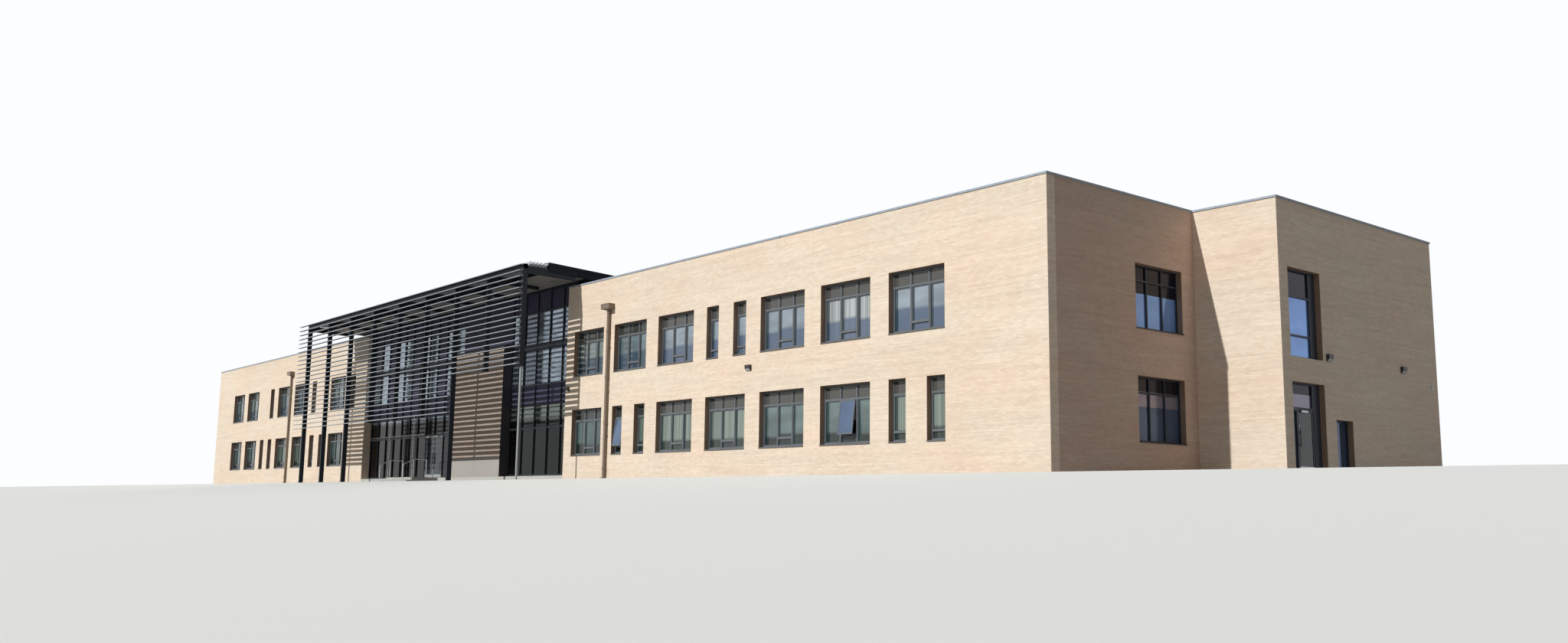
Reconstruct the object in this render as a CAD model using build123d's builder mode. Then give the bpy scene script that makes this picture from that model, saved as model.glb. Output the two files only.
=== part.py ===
from build123d import *
import os

# Two-storey school building at one tenth of its real size: 100 mm here is 1 m there.
# Pieces are drawn from the front's right-hand corner: X runs along the front and is negative on it,
# Y runs into the building, and Z = 0 is the lowest ground that the walls stand on. Each piece is
# written with the middle of the plan at the origin. All lengths are millimetres.

os.makedirs("parts", exist_ok=True)

# Plan
right_wing_length = 2930
hall_length = 2540
left_wing_length = 3220
building_depth = 1922
return_depth = 795
end_block_length = 314
wall_thickness = 40

# Heights, from the ground and from the ground floor
floor_level = 30
storey_height = 375
slab_thickness = 35
deck_height = 800
deck_thickness = 35
brick_height = 906
hall_eaves_height = 955
hall_roof_thickness = 44

# Window grid
bay = 360
right_first_window = 700
left_first_window = 270
wide_window = 267
narrow_window = 84
sill_height = 90
window_height = 219
window_setback = 20
frame_bar = 6
bar_depth = 5
pane_thickness = 2.5
transom_drop = 54
sill_thickness = 3
sill_projection = 4
right_lower_cells = "PWWWWPW"
right_upper_cells = "WWWPWWW"
left_lower_cells = "-WPWWPWW"
left_upper_cells = "LWLWWRWW"
return_window_start = 451
blind_thickness = 1
blind_drop = 130
blind_margin = 8

# Two sashes that stand open: floor row of the right wing, counted from the right corner
open_wide_window = 1
open_narrow_window = 5
sash_bar = 5
sash_thickness = 4
sash_angle = 7.5
sash_low_edge = 36

# End walls: one tall opening over another
stair_window_start = 850
stair_window_width = 210
stair_window_sill = 380
stair_window_height = 300
door_opening_height = 298
service_light_start = 1130
service_light_width = 115
service_light_height = 185
tall_transom_drop = 92
tall_rail_height = 76
tall_strip = 38

# Leaves, shared by the entrance and the end wall doorway
leaf_thickness = 5
leaf_stile = 9
leaf_gap = 1.5
pivot_radius = 1.5
pivot_inset = 7
handle_width = 2.4
handle_length = 60
handle_offset = 5
door_height = 210
side_light_width = 55
leaf_width = 105

# Copings
coping_thickness = 7
coping_overhang = 3
coping_joint = 1

# Entrance hall glazing
hall_setback = 50
hall_frame_depth = 12
hall_bar = 6
hall_right_bays = 5
hall_left_bays = 11
brick_panel_offset = 660
brick_panel_width = 570
plinth_height = 104
entrance_door_height = 245
hall_pane_thickness = 3
bays_left_of_door = 7
light_rows = {
    "low": (10, 239),
    "transom": (251, 355),
    "spandrel": (363, 457),
    "upper": (465, 640),
    "high": (675, 835),
    "fascia": (843, 937),
}

# Louvre screen and canopy
screen_offset = 300
post_count = 9
end_post_offset = 85
post_width = 14
post_depth = 24
screen_top = 978
step_height = 495
screen_bottom = 305
step_post_index = 2
wall_post_index = 6
blade_pitch = 27.5
blade_depth = 17
blade_thickness = 4.5
blade_nose = 3
blade_rise = 2
blade_overhang = 125
arm_width = 12
arm_height = 34
arm_end = 20
canopy_projection = 166
roof_fall = 0.053
louvre_count = 6
louvre_pitch = 18
louvre_level = 970
louvre_chord = 25
louvre_rise = 14
louvre_thickness = 3
corner_post_radius = 5
base_plate_radius = 12
base_plate_thickness = 3

# Entrance steps and handrails
landing_width = 360
landing_depth = 150
tread_depth = 30
rail_height = 100
rail_radius = 2.1
rail_facets = 8
rail_inset = 15
rail_start = 60

# Fittings
hopper_width = 66
hopper_depth = 32
hopper_height = 28
hopper_drop = 124
pipe_width = 14
pipe_gap = 1
clip_width = 22
clip_height = 5
pipe_positions = (2540, 6890)
light_width = 30
light_depth = 12
light_height = 26
front_light_positions = (1488, 2906)
front_light_height = 394
end_light_insets = (827, 284)
end_light_height = 379
camera_inset = 77
camera_height = 344
camera_back_radius = 6
camera_front_radius = 9
camera_reach = 14
corner_camera_size = 6
corner_camera_height = 640
corner_camera_reach = 80

# Places worked out from the sizes above
main_length = right_wing_length + hall_length + left_wing_length
hall_right = -right_wing_length
hall_left = hall_right - hall_length
left_end = -main_length
brick_top = floor_level + brick_height
deck_top = floor_level + deck_height
hall_eaves = floor_level + hall_eaves_height
hall_back = hall_setback + hall_frame_depth
panel_right = hall_right - brick_panel_offset
panel_left = panel_right - brick_panel_width
upper_floor = floor_level + storey_height
window_head_height = sill_height + window_height
pane_depth = window_setback + bar_depth
brick_panel_top = floor_level + storey_height + window_head_height
screen_right = hall_right + end_post_offset
screen_left = screen_right - (post_count - 1) * bay
step_post_x = screen_right - step_post_index * bay
roof_right = screen_right + post_width / 2
roof_left = screen_left - post_width / 2
hall_head = hall_eaves - roof_fall * (hall_back + canopy_projection)
hall_pitch = (panel_left - hall_left) / hall_left_bays
door_left = hall_left + bays_left_of_door * hall_pitch
door_right = door_left + 2 * hall_pitch
door_centre = (door_left + door_right) / 2
end_door_top = floor_level + door_opening_height
inner_rear = building_depth - wall_thickness
inner_end = end_block_length - wall_thickness
left_wing_start = right_wing_length + hall_length
rear_window_count = int((main_length - right_first_window - wall_thickness) / bay)
to_plan_middle = Location(((main_length - end_block_length) / 2, -building_depth / 2, 0))

# Faces of the building, each with its normal pointing out and its second axis up
front_face = Plane.XZ
rear_face = Plane(origin=(0, building_depth, 0), x_dir=(-1, 0, 0), z_dir=(0, 1, 0))
return_face = Plane.YZ
end_face = Plane(origin=(end_block_length, 0, 0), x_dir=(0, 1, 0), z_dir=(1, 0, 0))
left_face = Plane(origin=(left_end, 0, 0), x_dir=(0, -1, 0), z_dir=(-1, 0, 0))


def finish(part, label):
    """Move a finished piece to the middle of the plan, name it and write it."""
    placed = part.moved(to_plan_middle)
    placed.label = label
    export_step(placed, "parts/" + label + ".step")


def area(left, right, bottom, top, mode=Mode.ADD):
    """Add the rectangle between four edges to the sketch being drawn."""
    with Locations(((left + right) / 2, (bottom + top) / 2)):
        Rectangle(right - left, top - bottom, mode=mode)


def areas(rectangles, mode=Mode.ADD):
    """Add or cut many rectangles in the sketch being drawn, one operation for each size."""
    centres = {}
    for left, right, bottom, top in rectangles:
        size = (round(right - left, 4), round(top - bottom, 4))
        centres.setdefault(size, []).append(((left + right) / 2, (bottom + top) / 2))
    for size, places in centres.items():
        with Locations(*places):
            Rectangle(*size, mode=mode)


def slab_on(face, outline, thickness):
    """Extrude one rectangle of a face into the building."""
    with BuildSketch(face) as profile:
        area(*outline)
    extrude(profile.sketch, amount=-thickness)


def punched_wall(face, outline, openings, thickness):
    """Extrude a wall into the building with its openings cut through."""
    with BuildSketch(face) as profile:
        area(*outline)
        areas(openings, Mode.SUBTRACT)
    extrude(profile.sketch, amount=-thickness)


def slabs_on(face, outlines, thickness):
    """Extrude many separate rectangles of a face into the building."""
    with BuildSketch(face) as profile:
        areas(outlines)
    extrude(profile.sketch, amount=-thickness)


def cell_openings(kind, distance, sill):
    """Openings of one grid cell: one wide, a narrow pair, one narrow, or none."""
    left = -distance
    right = left + wide_window
    head = sill + window_height
    if kind == "W":
        return [(left, right, sill, head)]
    found = []
    if kind in "PL":
        found.append((left, left + narrow_window, sill, head))
    if kind in "PR":
        found.append((right - narrow_window, right, sill, head))
    return found


def row_openings(cells, first_window, floor):
    """Openings of one storey of a wing, from its right-hand window to its left."""
    found = []
    for index, kind in enumerate(cells):
        found += cell_openings(kind, first_window + bay * index, floor + sill_height)
    return found


def is_wide(opening):
    """Wide windows have three lights side by side, narrow ones have one."""
    return opening[1] - opening[0] > 2 * narrow_window


def light_columns(opening):
    """Left and right edges of the lights that stand side by side in one window."""
    left, right, sill, head = opening
    count = 3 if is_wide(opening) else 1
    width = (right - left - frame_bar * (count + 1)) / count
    starts = [left + frame_bar + index * (width + frame_bar) for index in range(count)]
    return [(start, start + width) for start in starts]


def window_lights(opening):
    """Clear lights between the bars of one window: a top row over a row of tall lights."""
    left, right, sill, head = opening
    transom = head - transom_drop
    lights = []
    for start, end in light_columns(opening):
        lights.append((start, end, transom + frame_bar / 2, head - frame_bar))
        lights.append((start, end, sill + sill_thickness + frame_bar, transom - frame_bar / 2))
    return lights


def window_frame(width):
    """One window frame with a thin sill.

    Its lower left corner in the wall's outer face is at the origin, seen from outside.
    """
    opening = (0, width, 0, window_height)
    with BuildPart() as frame:
        with BuildSketch(Plane.XY.offset(-window_setback)):
            area(*opening)
            areas(window_lights(opening), Mode.SUBTRACT)
        extrude(amount=-bar_depth)
        with BuildSketch(Plane.XY.offset(sill_projection)):
            area(0, width, 0, sill_thickness)
        extrude(amount=-sill_projection - window_setback)
    return frame.part


wide_frame = window_frame(wide_window)
narrow_frame = window_frame(narrow_window)


def place_frames(face, openings):
    """Set a wide or a narrow frame into each opening of a wall."""
    wide_places = []
    narrow_places = []
    for opening in openings:
        places = wide_places if is_wide(opening) else narrow_places
        places.append(face.location * Location((opening[0], opening[2], 0)))
    with Locations(*wide_places):
        add(wide_frame)
    if narrow_places:
        with Locations(*narrow_places):
            add(narrow_frame)


def plain_frame(face, opening):
    """Frame round a single light."""
    left, right, sill, head = opening
    punched_wall(face.offset(-window_setback), opening,
                 [(left + frame_bar, right - frame_bar, sill + frame_bar, head - frame_bar)], bar_depth)


def window_panes(face, openings):
    """One sheet of glass behind each frame."""
    slabs_on(face.offset(-pane_depth), openings, pane_thickness)


# Floors and roof decks
def inner_outline(front_extra):
    """Plan inside the walls; front_extra moves the hall's front edge."""
    with BuildLine() as outline:
        Polyline(
            (left_end + wall_thickness, wall_thickness),
            (hall_left - wall_thickness, wall_thickness),
            (hall_left - wall_thickness, front_extra),
            (hall_right + wall_thickness, front_extra),
            (hall_right + wall_thickness, wall_thickness),
            (-wall_thickness, wall_thickness),
            (-wall_thickness, return_depth + wall_thickness),
            (inner_end, return_depth + wall_thickness),
            (inner_end, inner_rear),
            (left_end + wall_thickness, inner_rear),
            close=True,
        )
    make_face(outline.edges())


with BuildPart() as ground_floor_slab:
    with BuildSketch():
        inner_outline(hall_back)
        area(hall_left, hall_right, 0, hall_back)
    extrude(amount=floor_level)
finish(ground_floor_slab.part, "ground_floor_slab")

with BuildPart() as first_floor_slab:
    with BuildSketch(Plane.XY.offset(upper_floor)):
        inner_outline(hall_back)
    extrude(amount=-slab_thickness)
finish(first_floor_slab.part, "first_floor_slab")

with BuildPart() as roof_decks:
    with BuildSketch(Plane.XY.offset(deck_top)):
        inner_outline(hall_back)
        area(hall_left, hall_right, hall_back, inner_rear, mode=Mode.SUBTRACT)
    extrude(amount=-deck_thickness)
finish(roof_decks.part, "roof_decks")

def roof_underside(depth):
    """Height of the underside of the hall roof, which falls to the rear."""
    return hall_eaves - roof_fall * (depth + canopy_projection)


def side_profile(left, width, *corners):
    """Piece with one outline of depths and heights, from one side to the other."""
    with BuildSketch(Plane.YZ.offset(left)) as outline:
        with BuildLine():
            Polyline(*corners, close=True)
        make_face()
    extrude(outline.sketch, amount=width)


with BuildPart() as hall_side_walls:
    for side in (hall_left - wall_thickness, hall_right):
        side_profile(side, wall_thickness, (hall_back, deck_top), (inner_rear, deck_top),
                     (inner_rear, roof_underside(inner_rear)), (hall_back, roof_underside(hall_back)))
finish(hall_side_walls.part, "hall_side_walls")

with BuildPart() as hall_roof:
    side_profile(roof_left, roof_right - roof_left, (-canopy_projection, hall_eaves),
                 (inner_rear, roof_underside(inner_rear)),
                 (inner_rear, roof_underside(inner_rear) + hall_roof_thickness),
                 (-canopy_projection, hall_eaves + hall_roof_thickness))
finish(hall_roof.part, "hall_roof")

# Brick walls
right_openings = row_openings(right_lower_cells, right_first_window, floor_level)
right_openings += row_openings(right_upper_cells, right_first_window, upper_floor)
left_openings = row_openings(left_lower_cells, left_wing_start + left_first_window, floor_level)
left_openings += row_openings(left_upper_cells, left_wing_start + left_first_window, upper_floor)

with BuildPart() as front_wall_right:
    punched_wall(front_face, (hall_right, 0, 0, brick_top), right_openings, wall_thickness)
    slab_on(front_face.offset(-wall_thickness), (hall_right, hall_right + wall_thickness, 0, brick_top),
            hall_back - wall_thickness)
finish(front_wall_right.part, "front_wall_right")

with BuildPart() as front_wall_left:
    punched_wall(front_face, (left_end, hall_left, 0, brick_top), left_openings, wall_thickness)
    slab_on(front_face.offset(-wall_thickness), (hall_left - wall_thickness, hall_left, 0, brick_top),
            hall_back - wall_thickness)
finish(front_wall_left.part, "front_wall_left")

with BuildPart() as entrance_plinth:
    slab_on(front_face, (panel_left, panel_right, floor_level, floor_level + plinth_height), hall_back)
finish(entrance_plinth.part, "entrance_plinth")

with BuildPart() as entrance_brick_panel:
    slab_on(front_face, (panel_left, panel_right, floor_level + plinth_height, brick_panel_top), hall_back)
finish(entrance_brick_panel.part, "entrance_brick_panel")

return_openings = []
for return_floor in (floor_level, upper_floor):
    return_sill = return_floor + sill_height
    return_openings.append((return_window_start, return_window_start + wide_window,
                            return_sill, return_sill + window_height))

with BuildPart() as return_wall:
    punched_wall(return_face, (wall_thickness, return_depth, 0, brick_top), return_openings,
                 wall_thickness)
finish(return_wall.part, "return_wall")

# The end block's front wall turns the corner as far as the tall openings
with BuildPart() as end_block_front_wall:
    with BuildSketch():
        area(-wall_thickness, end_block_length, return_depth, return_depth + wall_thickness)
        area(inner_end, end_block_length, return_depth, stair_window_start)
    extrude(amount=brick_top)
finish(end_block_front_wall.part, "end_block_front_wall")

stair_window_end = stair_window_start + stair_window_width
stair_window = (stair_window_start, stair_window_end, floor_level + stair_window_sill,
                floor_level + stair_window_sill + stair_window_height)
service_light = (service_light_start, service_light_start + service_light_width,
                 floor_level, floor_level + service_light_height)

with BuildPart() as end_wall_door_bay:
    slab_on(end_face, (stair_window_start, stair_window_end, 0, floor_level), wall_thickness)
    punched_wall(end_face, (stair_window_start, stair_window_end, end_door_top, brick_top),
                 [stair_window], wall_thickness)
finish(end_wall_door_bay.part, "end_wall_door_bay")

with BuildPart() as end_wall:
    punched_wall(end_face, (stair_window_end, inner_rear, 0, brick_top), [service_light],
                 wall_thickness)
finish(end_wall.part, "end_wall")

rear_openings = []
for rear_floor in (floor_level, upper_floor):
    for left, right, sill, head in row_openings("W" * rear_window_count, right_first_window, rear_floor):
        rear_openings.append((-right, -left, sill, head))

with BuildPart() as rear_wall:
    with BuildSketch(rear_face):
        area(-end_block_length, main_length, 0, brick_top)
        areas(rear_openings, Mode.SUBTRACT)
    extrude(amount=-wall_thickness)
finish(rear_wall.part, "rear_wall")

left_end_openings = [(-stair_window_end, -stair_window_start, stair_window[2], stair_window[3]),
                     (-stair_window_end, -stair_window_start, floor_level, end_door_top)]

with BuildPart() as left_end_wall:
    punched_wall(left_face, (-inner_rear, -wall_thickness, 0, brick_top), left_end_openings,
                 wall_thickness)
finish(left_end_wall.part, "left_end_wall")


# Copings: straight lengths with a narrow joint at each corner
def coping_run(left, right, front, back):
    """One length of coping on top of the brick."""
    with BuildSketch(Plane.XY.offset(brick_top)) as plan:
        area(left, right, front, back)
    extrude(plan.sketch, amount=coping_thickness)


inner_face = wall_thickness + coping_overhang

with BuildPart() as copings:
    coping_run(hall_right, -inner_face - coping_joint, -coping_overhang, inner_face)
    coping_run(-inner_face, coping_overhang, -coping_overhang, return_depth - coping_overhang - coping_joint)
    coping_run(-inner_face, end_block_length - inner_face - coping_joint,
               return_depth - coping_overhang, return_depth + inner_face)
    coping_run(end_block_length - inner_face, end_block_length + coping_overhang,
               return_depth - coping_overhang, building_depth - inner_face - coping_joint)
    coping_run(hall_right + wall_thickness, end_block_length + coping_overhang,
               building_depth - inner_face, building_depth + coping_overhang)
    coping_run(left_end + inner_face + coping_joint, hall_left, -coping_overhang, inner_face)
    coping_run(left_end - coping_overhang, left_end + inner_face,
               -coping_overhang, building_depth - inner_face - coping_joint)
    coping_run(left_end - coping_overhang, hall_right + wall_thickness - coping_joint,
               building_depth - inner_face, building_depth + coping_overhang)
finish(copings.part, "copings")

# Windows
front_openings = left_openings + right_openings

with BuildPart() as window_frames_front:
    place_frames(front_face, front_openings)
finish(window_frames_front.part, "window_frames_front")



def sash_opening(opening):
    """Light that an open sash leaves free: the middle tall light of a window, over its low bar."""
    left, right, sill, head = opening
    columns = light_columns(opening)
    start, end = columns[len(columns) // 2]
    low = sill + sash_low_edge
    return start, end, low, head - transom_drop - frame_bar / 2


def lower_right_window(cell, side):
    """Window of the right wing's lower row in one cell; side 0 is its left one."""
    distance = right_first_window + bay * cell
    return cell_openings(right_lower_cells[cell], distance, floor_level + sill_height)[side]


open_sashes = [sash_opening(lower_right_window(open_wide_window, 0)),
               sash_opening(lower_right_window(open_narrow_window, 0))]

with BuildPart() as window_glass_front:
    window_panes(front_face, front_openings)
    with BuildSketch(front_face.offset(-pane_depth)):
        areas(open_sashes)
    extrude(amount=-pane_thickness, mode=Mode.SUBTRACT)
finish(window_glass_front.part, "window_glass_front")


def sash_plane(sash):
    """Tilted plane of a sash that hangs from the transom; its origin is the upper left corner."""
    left, right, low, top = sash
    hinge = front_face.location * Location((left, top, -window_setback)) * Location((0, 0, 0), (-sash_angle, 0, 0))
    return Plane(hinge)


with BuildPart() as window_sash_open:
    for sash in open_sashes:
        width = sash[1] - sash[0]
        height = sash[3] - sash[2]
        with BuildSketch(sash_plane(sash)) as profile:
            area(0, width, -height, 0)
            area(sash_bar, width - sash_bar, sash_bar - height, -sash_bar, mode=Mode.SUBTRACT)
        extrude(profile.sketch, amount=sash_thickness)
finish(window_sash_open.part, "window_sash_open")

with BuildPart() as window_sash_glass:
    for sash in open_sashes:
        width = sash[1] - sash[0]
        height = sash[3] - sash[2]
        middle = sash_plane(sash).offset((sash_thickness - pane_thickness) / 2)
        with BuildSketch(middle) as profile:
            area(sash_bar, width - sash_bar, sash_bar - height, -sash_bar)
        extrude(profile.sketch, amount=pane_thickness)
finish(window_sash_glass.part, "window_sash_glass")

with BuildPart() as window_blinds:
    hung = [(left + blind_margin, right - blind_margin, head - blind_drop, head - frame_bar / 2)
            for left, right, sill, head in front_openings]
    slabs_on(front_face.offset(-pane_depth - pane_thickness), hung, blind_thickness)
finish(window_blinds.part, "window_blinds")

with BuildPart() as window_frames_rear:
    for opening in rear_openings:
        plain_frame(rear_face, opening)
finish(window_frames_rear.part, "window_frames_rear")

with BuildPart() as window_glass_rear:
    window_panes(rear_face, rear_openings)
finish(window_glass_rear.part, "window_glass_rear")


# Tall glazed openings of the end walls
def tall_lights(opening):
    """Three lights of a tall opening, one above another, with a closed strip on the right."""
    left, right, sill, head = opening
    low_rail = sill + tall_rail_height
    transom = head - tall_transom_drop
    strip = tall_strip if right - left > 2 * narrow_window else 0
    lights = []
    for bottom, top in ((sill + frame_bar, low_rail - frame_bar / 2),
                        (low_rail + frame_bar / 2, transom - frame_bar / 2),
                        (transom + frame_bar / 2, head - frame_bar)):
        lights.append((left + frame_bar, right - frame_bar - strip, bottom, top))
    return lights


def tall_frame(face, opening):
    """Frame of one tall opening."""
    punched_wall(face.offset(-window_setback), opening, tall_lights(opening), bar_depth + pane_thickness)


def tall_panes(face, opening):
    """One pane in each light of a tall opening."""
    slabs_on(face.offset(-pane_depth), tall_lights(opening), pane_thickness)


with BuildPart() as window_frames_ends:
    place_frames(return_face, return_openings)
    tall_frame(end_face, stair_window)
    plain_frame(end_face, service_light)
    for opening in left_end_openings:
        tall_frame(left_face, opening)
finish(window_frames_ends.part, "window_frames_ends")

# End wall doorway: side light and top light beside the leaf, and a closed strip
door_head = floor_level + door_height
frame_face = end_face.offset(-window_setback)
side_light_end = stair_window_start + side_light_width
leaf_start = side_light_end + frame_bar
leaf_end = leaf_start + leaf_width
side_light = (stair_window_start + frame_bar, side_light_end, floor_level + frame_bar, door_head - frame_bar)
top_light = (stair_window_start + frame_bar, leaf_end - frame_bar, door_head + frame_bar,
             end_door_top - frame_bar)
leaf_opening = (leaf_start, leaf_end, floor_level, door_head)
door_frame_depth = bar_depth + pane_thickness

with BuildPart() as window_glass_ends:
    window_panes(return_face, return_openings)
    window_panes(end_face, [service_light])
    tall_panes(end_face, stair_window)
    slabs_on(end_face.offset(-pane_depth), [side_light, top_light], pane_thickness)
    for opening in left_end_openings:
        tall_panes(left_face, opening)
finish(window_glass_ends.part, "window_glass_ends")

with BuildPart() as end_door_frame:
    punched_wall(frame_face, (stair_window_start, stair_window_end, floor_level, end_door_top),
                 [side_light, top_light, leaf_opening], door_frame_depth)
finish(end_door_frame.part, "end_door_frame")


# Entrance hall glazing
def hall_lights(left, right, bays, first, last, rows):
    """Lights between mullions at an even pitch, from the first bay up to the last."""
    pitch = (right - left) / bays
    lights = []
    for row in rows:
        bottom, top = light_rows[row]
        for index in range(first, last):
            start = left + index * pitch
            lights.append((start + hall_bar / 2, start + pitch - hall_bar / 2,
                           floor_level + bottom, floor_level + top))
    return lights


def is_dark(index, row):
    """Opaque bays: the spandrels, the fascia and every third bay of the upper storey on the left."""
    return row in ("spandrel", "fascia") or (row in ("upper", "high") and index % 3 == 2)


upper_rows = ("transom", "spandrel", "upper", "high", "fascia")
all_rows = ("low",) + upper_rows
left_hall = (hall_left, panel_left, hall_left_bays)
right_hall = (panel_right, hall_right, hall_right_bays)
hall_face = front_face.offset(-hall_setback)
low_top = floor_level + entrance_door_height

with BuildPart() as hall_frame_upper:
    punched_wall(hall_face, (hall_left, panel_left, low_top, hall_head),
                 hall_lights(*left_hall, 0, hall_left_bays, upper_rows), hall_frame_depth)
finish(hall_frame_upper.part, "hall_frame_upper")

with BuildPart() as hall_frame_right:
    punched_wall(hall_face, (panel_right, hall_right, floor_level, hall_head),
                 hall_lights(*right_hall, 0, hall_right_bays, all_rows), hall_frame_depth)
finish(hall_frame_right.part, "hall_frame_right")

with BuildPart() as hall_frame_low:
    punched_wall(hall_face, (hall_left, door_left + hall_bar / 2, floor_level, low_top),
                 hall_lights(*left_hall, 0, bays_left_of_door, ("low",)), hall_frame_depth)
    punched_wall(hall_face, (door_right - hall_bar / 2, panel_left, floor_level, low_top),
                 hall_lights(*left_hall, bays_left_of_door + 2, hall_left_bays, ("low",)), hall_frame_depth)
finish(hall_frame_low.part, "hall_frame_low")

pane_plane = hall_face.offset(-(hall_frame_depth - hall_pane_thickness) / 2)


def hall_fill(dark):
    """Lights of the hall that hold a panel when dark is true, otherwise those that hold glass."""
    found = []
    for row in all_rows:
        for index in range(hall_left_bays):
            is_door = row == "low" and index in (bays_left_of_door, bays_left_of_door + 1)
            if is_dark(index, row) == dark and not is_door:
                found += hall_lights(*left_hall, index, index + 1, (row,))
        if is_dark(0, row) == dark:
            found += hall_lights(*right_hall, 0, hall_right_bays, (row,))
    return found


with BuildPart() as hall_glass:
    slabs_on(pane_plane, hall_fill(False), hall_pane_thickness)
finish(hall_glass.part, "hall_glass")

with BuildPart() as hall_panels:
    slabs_on(pane_plane, hall_fill(True), hall_pane_thickness)
    slab_on(hall_face, (panel_left, panel_right, brick_panel_top, hall_head), hall_frame_depth)
finish(hall_panels.part, "hall_panels")


# Glazed leaves that turn on pivots on the threshold and under the transom
def leaf_blank(face, left, right, bottom, top):
    """Stiles and rails of a leaf."""
    with BuildSketch(face) as profile:
        area(left, right, bottom, top)
        area(left + leaf_stile, right - leaf_stile, bottom + leaf_stile, top - leaf_stile,
             mode=Mode.SUBTRACT)
    extrude(profile.sketch, amount=-leaf_thickness)


def leaf_pane(face, left, right, bottom, top):
    """Pane in the middle of a leaf's thickness."""
    slab_on(face.offset(-(leaf_thickness - pane_thickness) / 2),
            (left + leaf_stile, right - leaf_stile, bottom + leaf_stile, top - leaf_stile),
            pane_thickness)


def pull_handle(face, handle_x, height):
    """Upright bar on two short legs, on the outer side of a leaf."""
    half = handle_width / 2
    reach = handle_length / 2
    foot = handle_length / 3
    slab_on(face.offset(handle_offset + handle_width),
            (handle_x - half, handle_x + half, height - reach, height + reach), handle_width)
    slabs_on(face.offset(handle_offset),
             [(handle_x - half, handle_x + half, height + side * foot - half, height + side * foot + half)
              for side in (-1, 1)], handle_offset)


def pivot_pads(face, pivot_x, bottom, top):
    """Short pivots that fill the gap under and over a leaf at its heel."""
    centre = face.offset(-leaf_thickness / 2).from_local_coords((pivot_x, 0, 0))
    with BuildSketch(Plane.XY.offset(bottom)) as pads:
        with Locations((centre.X, centre.Y)):
            Circle(pivot_radius)
    extrude(pads.sketch, amount=leaf_gap)
    with BuildSketch(Plane.XY.offset(top)) as pads:
        with Locations((centre.X, centre.Y)):
            Circle(pivot_radius)
    extrude(pads.sketch, amount=-leaf_gap)


leaf_face = hall_face.offset(-(hall_frame_depth - leaf_thickness) / 2)
leaf_bottom = floor_level + leaf_gap
leaf_top = low_top - leaf_gap
handle_height = floor_level + storey_height * 0.3
left_leaf = (door_left + hall_bar / 2 + leaf_gap, door_centre - leaf_gap / 2)
right_leaf = (door_centre + leaf_gap / 2, door_right - hall_bar / 2 - leaf_gap)
left_pivot = left_leaf[0] + pivot_inset
right_pivot = right_leaf[1] - pivot_inset

with BuildPart() as entrance_leaf_left:
    leaf_blank(leaf_face, *left_leaf, leaf_bottom, leaf_top)
    pull_handle(leaf_face, left_leaf[1] - leaf_stile / 2, handle_height)
finish(entrance_leaf_left.part, "entrance_leaf_left")

with BuildPart() as entrance_leaf_left_glass:
    leaf_pane(leaf_face, *left_leaf, leaf_bottom, leaf_top)
finish(entrance_leaf_left_glass.part, "entrance_leaf_left_glass")

with BuildPart() as entrance_leaf_right:
    leaf_blank(leaf_face, *right_leaf, leaf_bottom, leaf_top)
    pull_handle(leaf_face, right_leaf[0] + leaf_stile / 2, handle_height)
finish(entrance_leaf_right.part, "entrance_leaf_right")

with BuildPart() as entrance_leaf_right_glass:
    leaf_pane(leaf_face, *right_leaf, leaf_bottom, leaf_top)
finish(entrance_leaf_right_glass.part, "entrance_leaf_right_glass")

end_leaf_face = frame_face.offset(-(door_frame_depth - leaf_thickness) / 2)
end_leaf = (leaf_start + leaf_gap, leaf_end - leaf_gap)
end_leaf_bottom = floor_level + leaf_gap
end_leaf_top = door_head - leaf_gap
end_pivot = end_leaf[1] - pivot_inset

with BuildPart() as end_door_leaf:
    leaf_blank(end_leaf_face, *end_leaf, end_leaf_bottom, end_leaf_top)
    pull_handle(end_leaf_face, end_leaf[0] + leaf_stile / 2, handle_height)
finish(end_door_leaf.part, "end_door_leaf")

with BuildPart() as end_door_leaf_glass:
    leaf_pane(end_leaf_face, *end_leaf, end_leaf_bottom, end_leaf_top)
finish(end_door_leaf_glass.part, "end_door_leaf_glass")

with BuildPart() as door_pivots:
    pivot_pads(leaf_face, left_pivot, floor_level, low_top)
    pivot_pads(leaf_face, right_pivot, floor_level, low_top)
    pivot_pads(end_leaf_face, end_pivot, floor_level, door_head)
finish(door_pivots.part, "door_pivots")


# Louvre screen: posts, blades with a tapered nose, canopy arms and top louvres
def post(centre_x, bottom, top):
    """One flat post behind the blades."""
    with BuildSketch(Plane.XY.offset(bottom)) as plan:
        area(centre_x - post_width / 2, centre_x + post_width / 2,
             -screen_offset, -screen_offset + post_depth)
    extrude(plan.sketch, amount=top - bottom)


screen_head = floor_level + screen_top

with BuildPart() as screen_posts:
    for index in range(post_count):
        lowest = step_height if index < step_post_index else screen_bottom
        grounded = index == step_post_index or index >= wall_post_index
        foot = 0 if grounded else floor_level + lowest
        post(screen_right - index * bay, foot, screen_head)
finish(screen_posts.part, "screen_posts")


def blade(length):
    """One blade at the origin, running along X, flat behind, lower and tapered in front."""
    half = blade_thickness / 2
    with BuildPart() as slat:
        with BuildSketch(Plane.YZ):
            with BuildLine():
                Polyline(
                    (0, -half),
                    (0, half),
                    (blade_nose - blade_depth, half - blade_rise),
                    (-blade_depth, half / 2 - blade_rise),
                    (-blade_depth, -half / 2 - blade_rise),
                    (blade_nose - blade_depth, -half - blade_rise),
                    close=True,
                )
            make_face()
        extrude(amount=length)
    return slat.part


top_blade = screen_head - blade_thickness / 2
blade_start = screen_left - blade_overhang
long_blade = blade(screen_right + post_width / 2 - blade_start)
short_blade = blade(step_post_x + post_width / 2 - blade_start)
long_rows = int((screen_top - step_height) / blade_pitch) + 1
all_rows_of_blades = int((screen_top - screen_bottom) / blade_pitch) + 1


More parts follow.
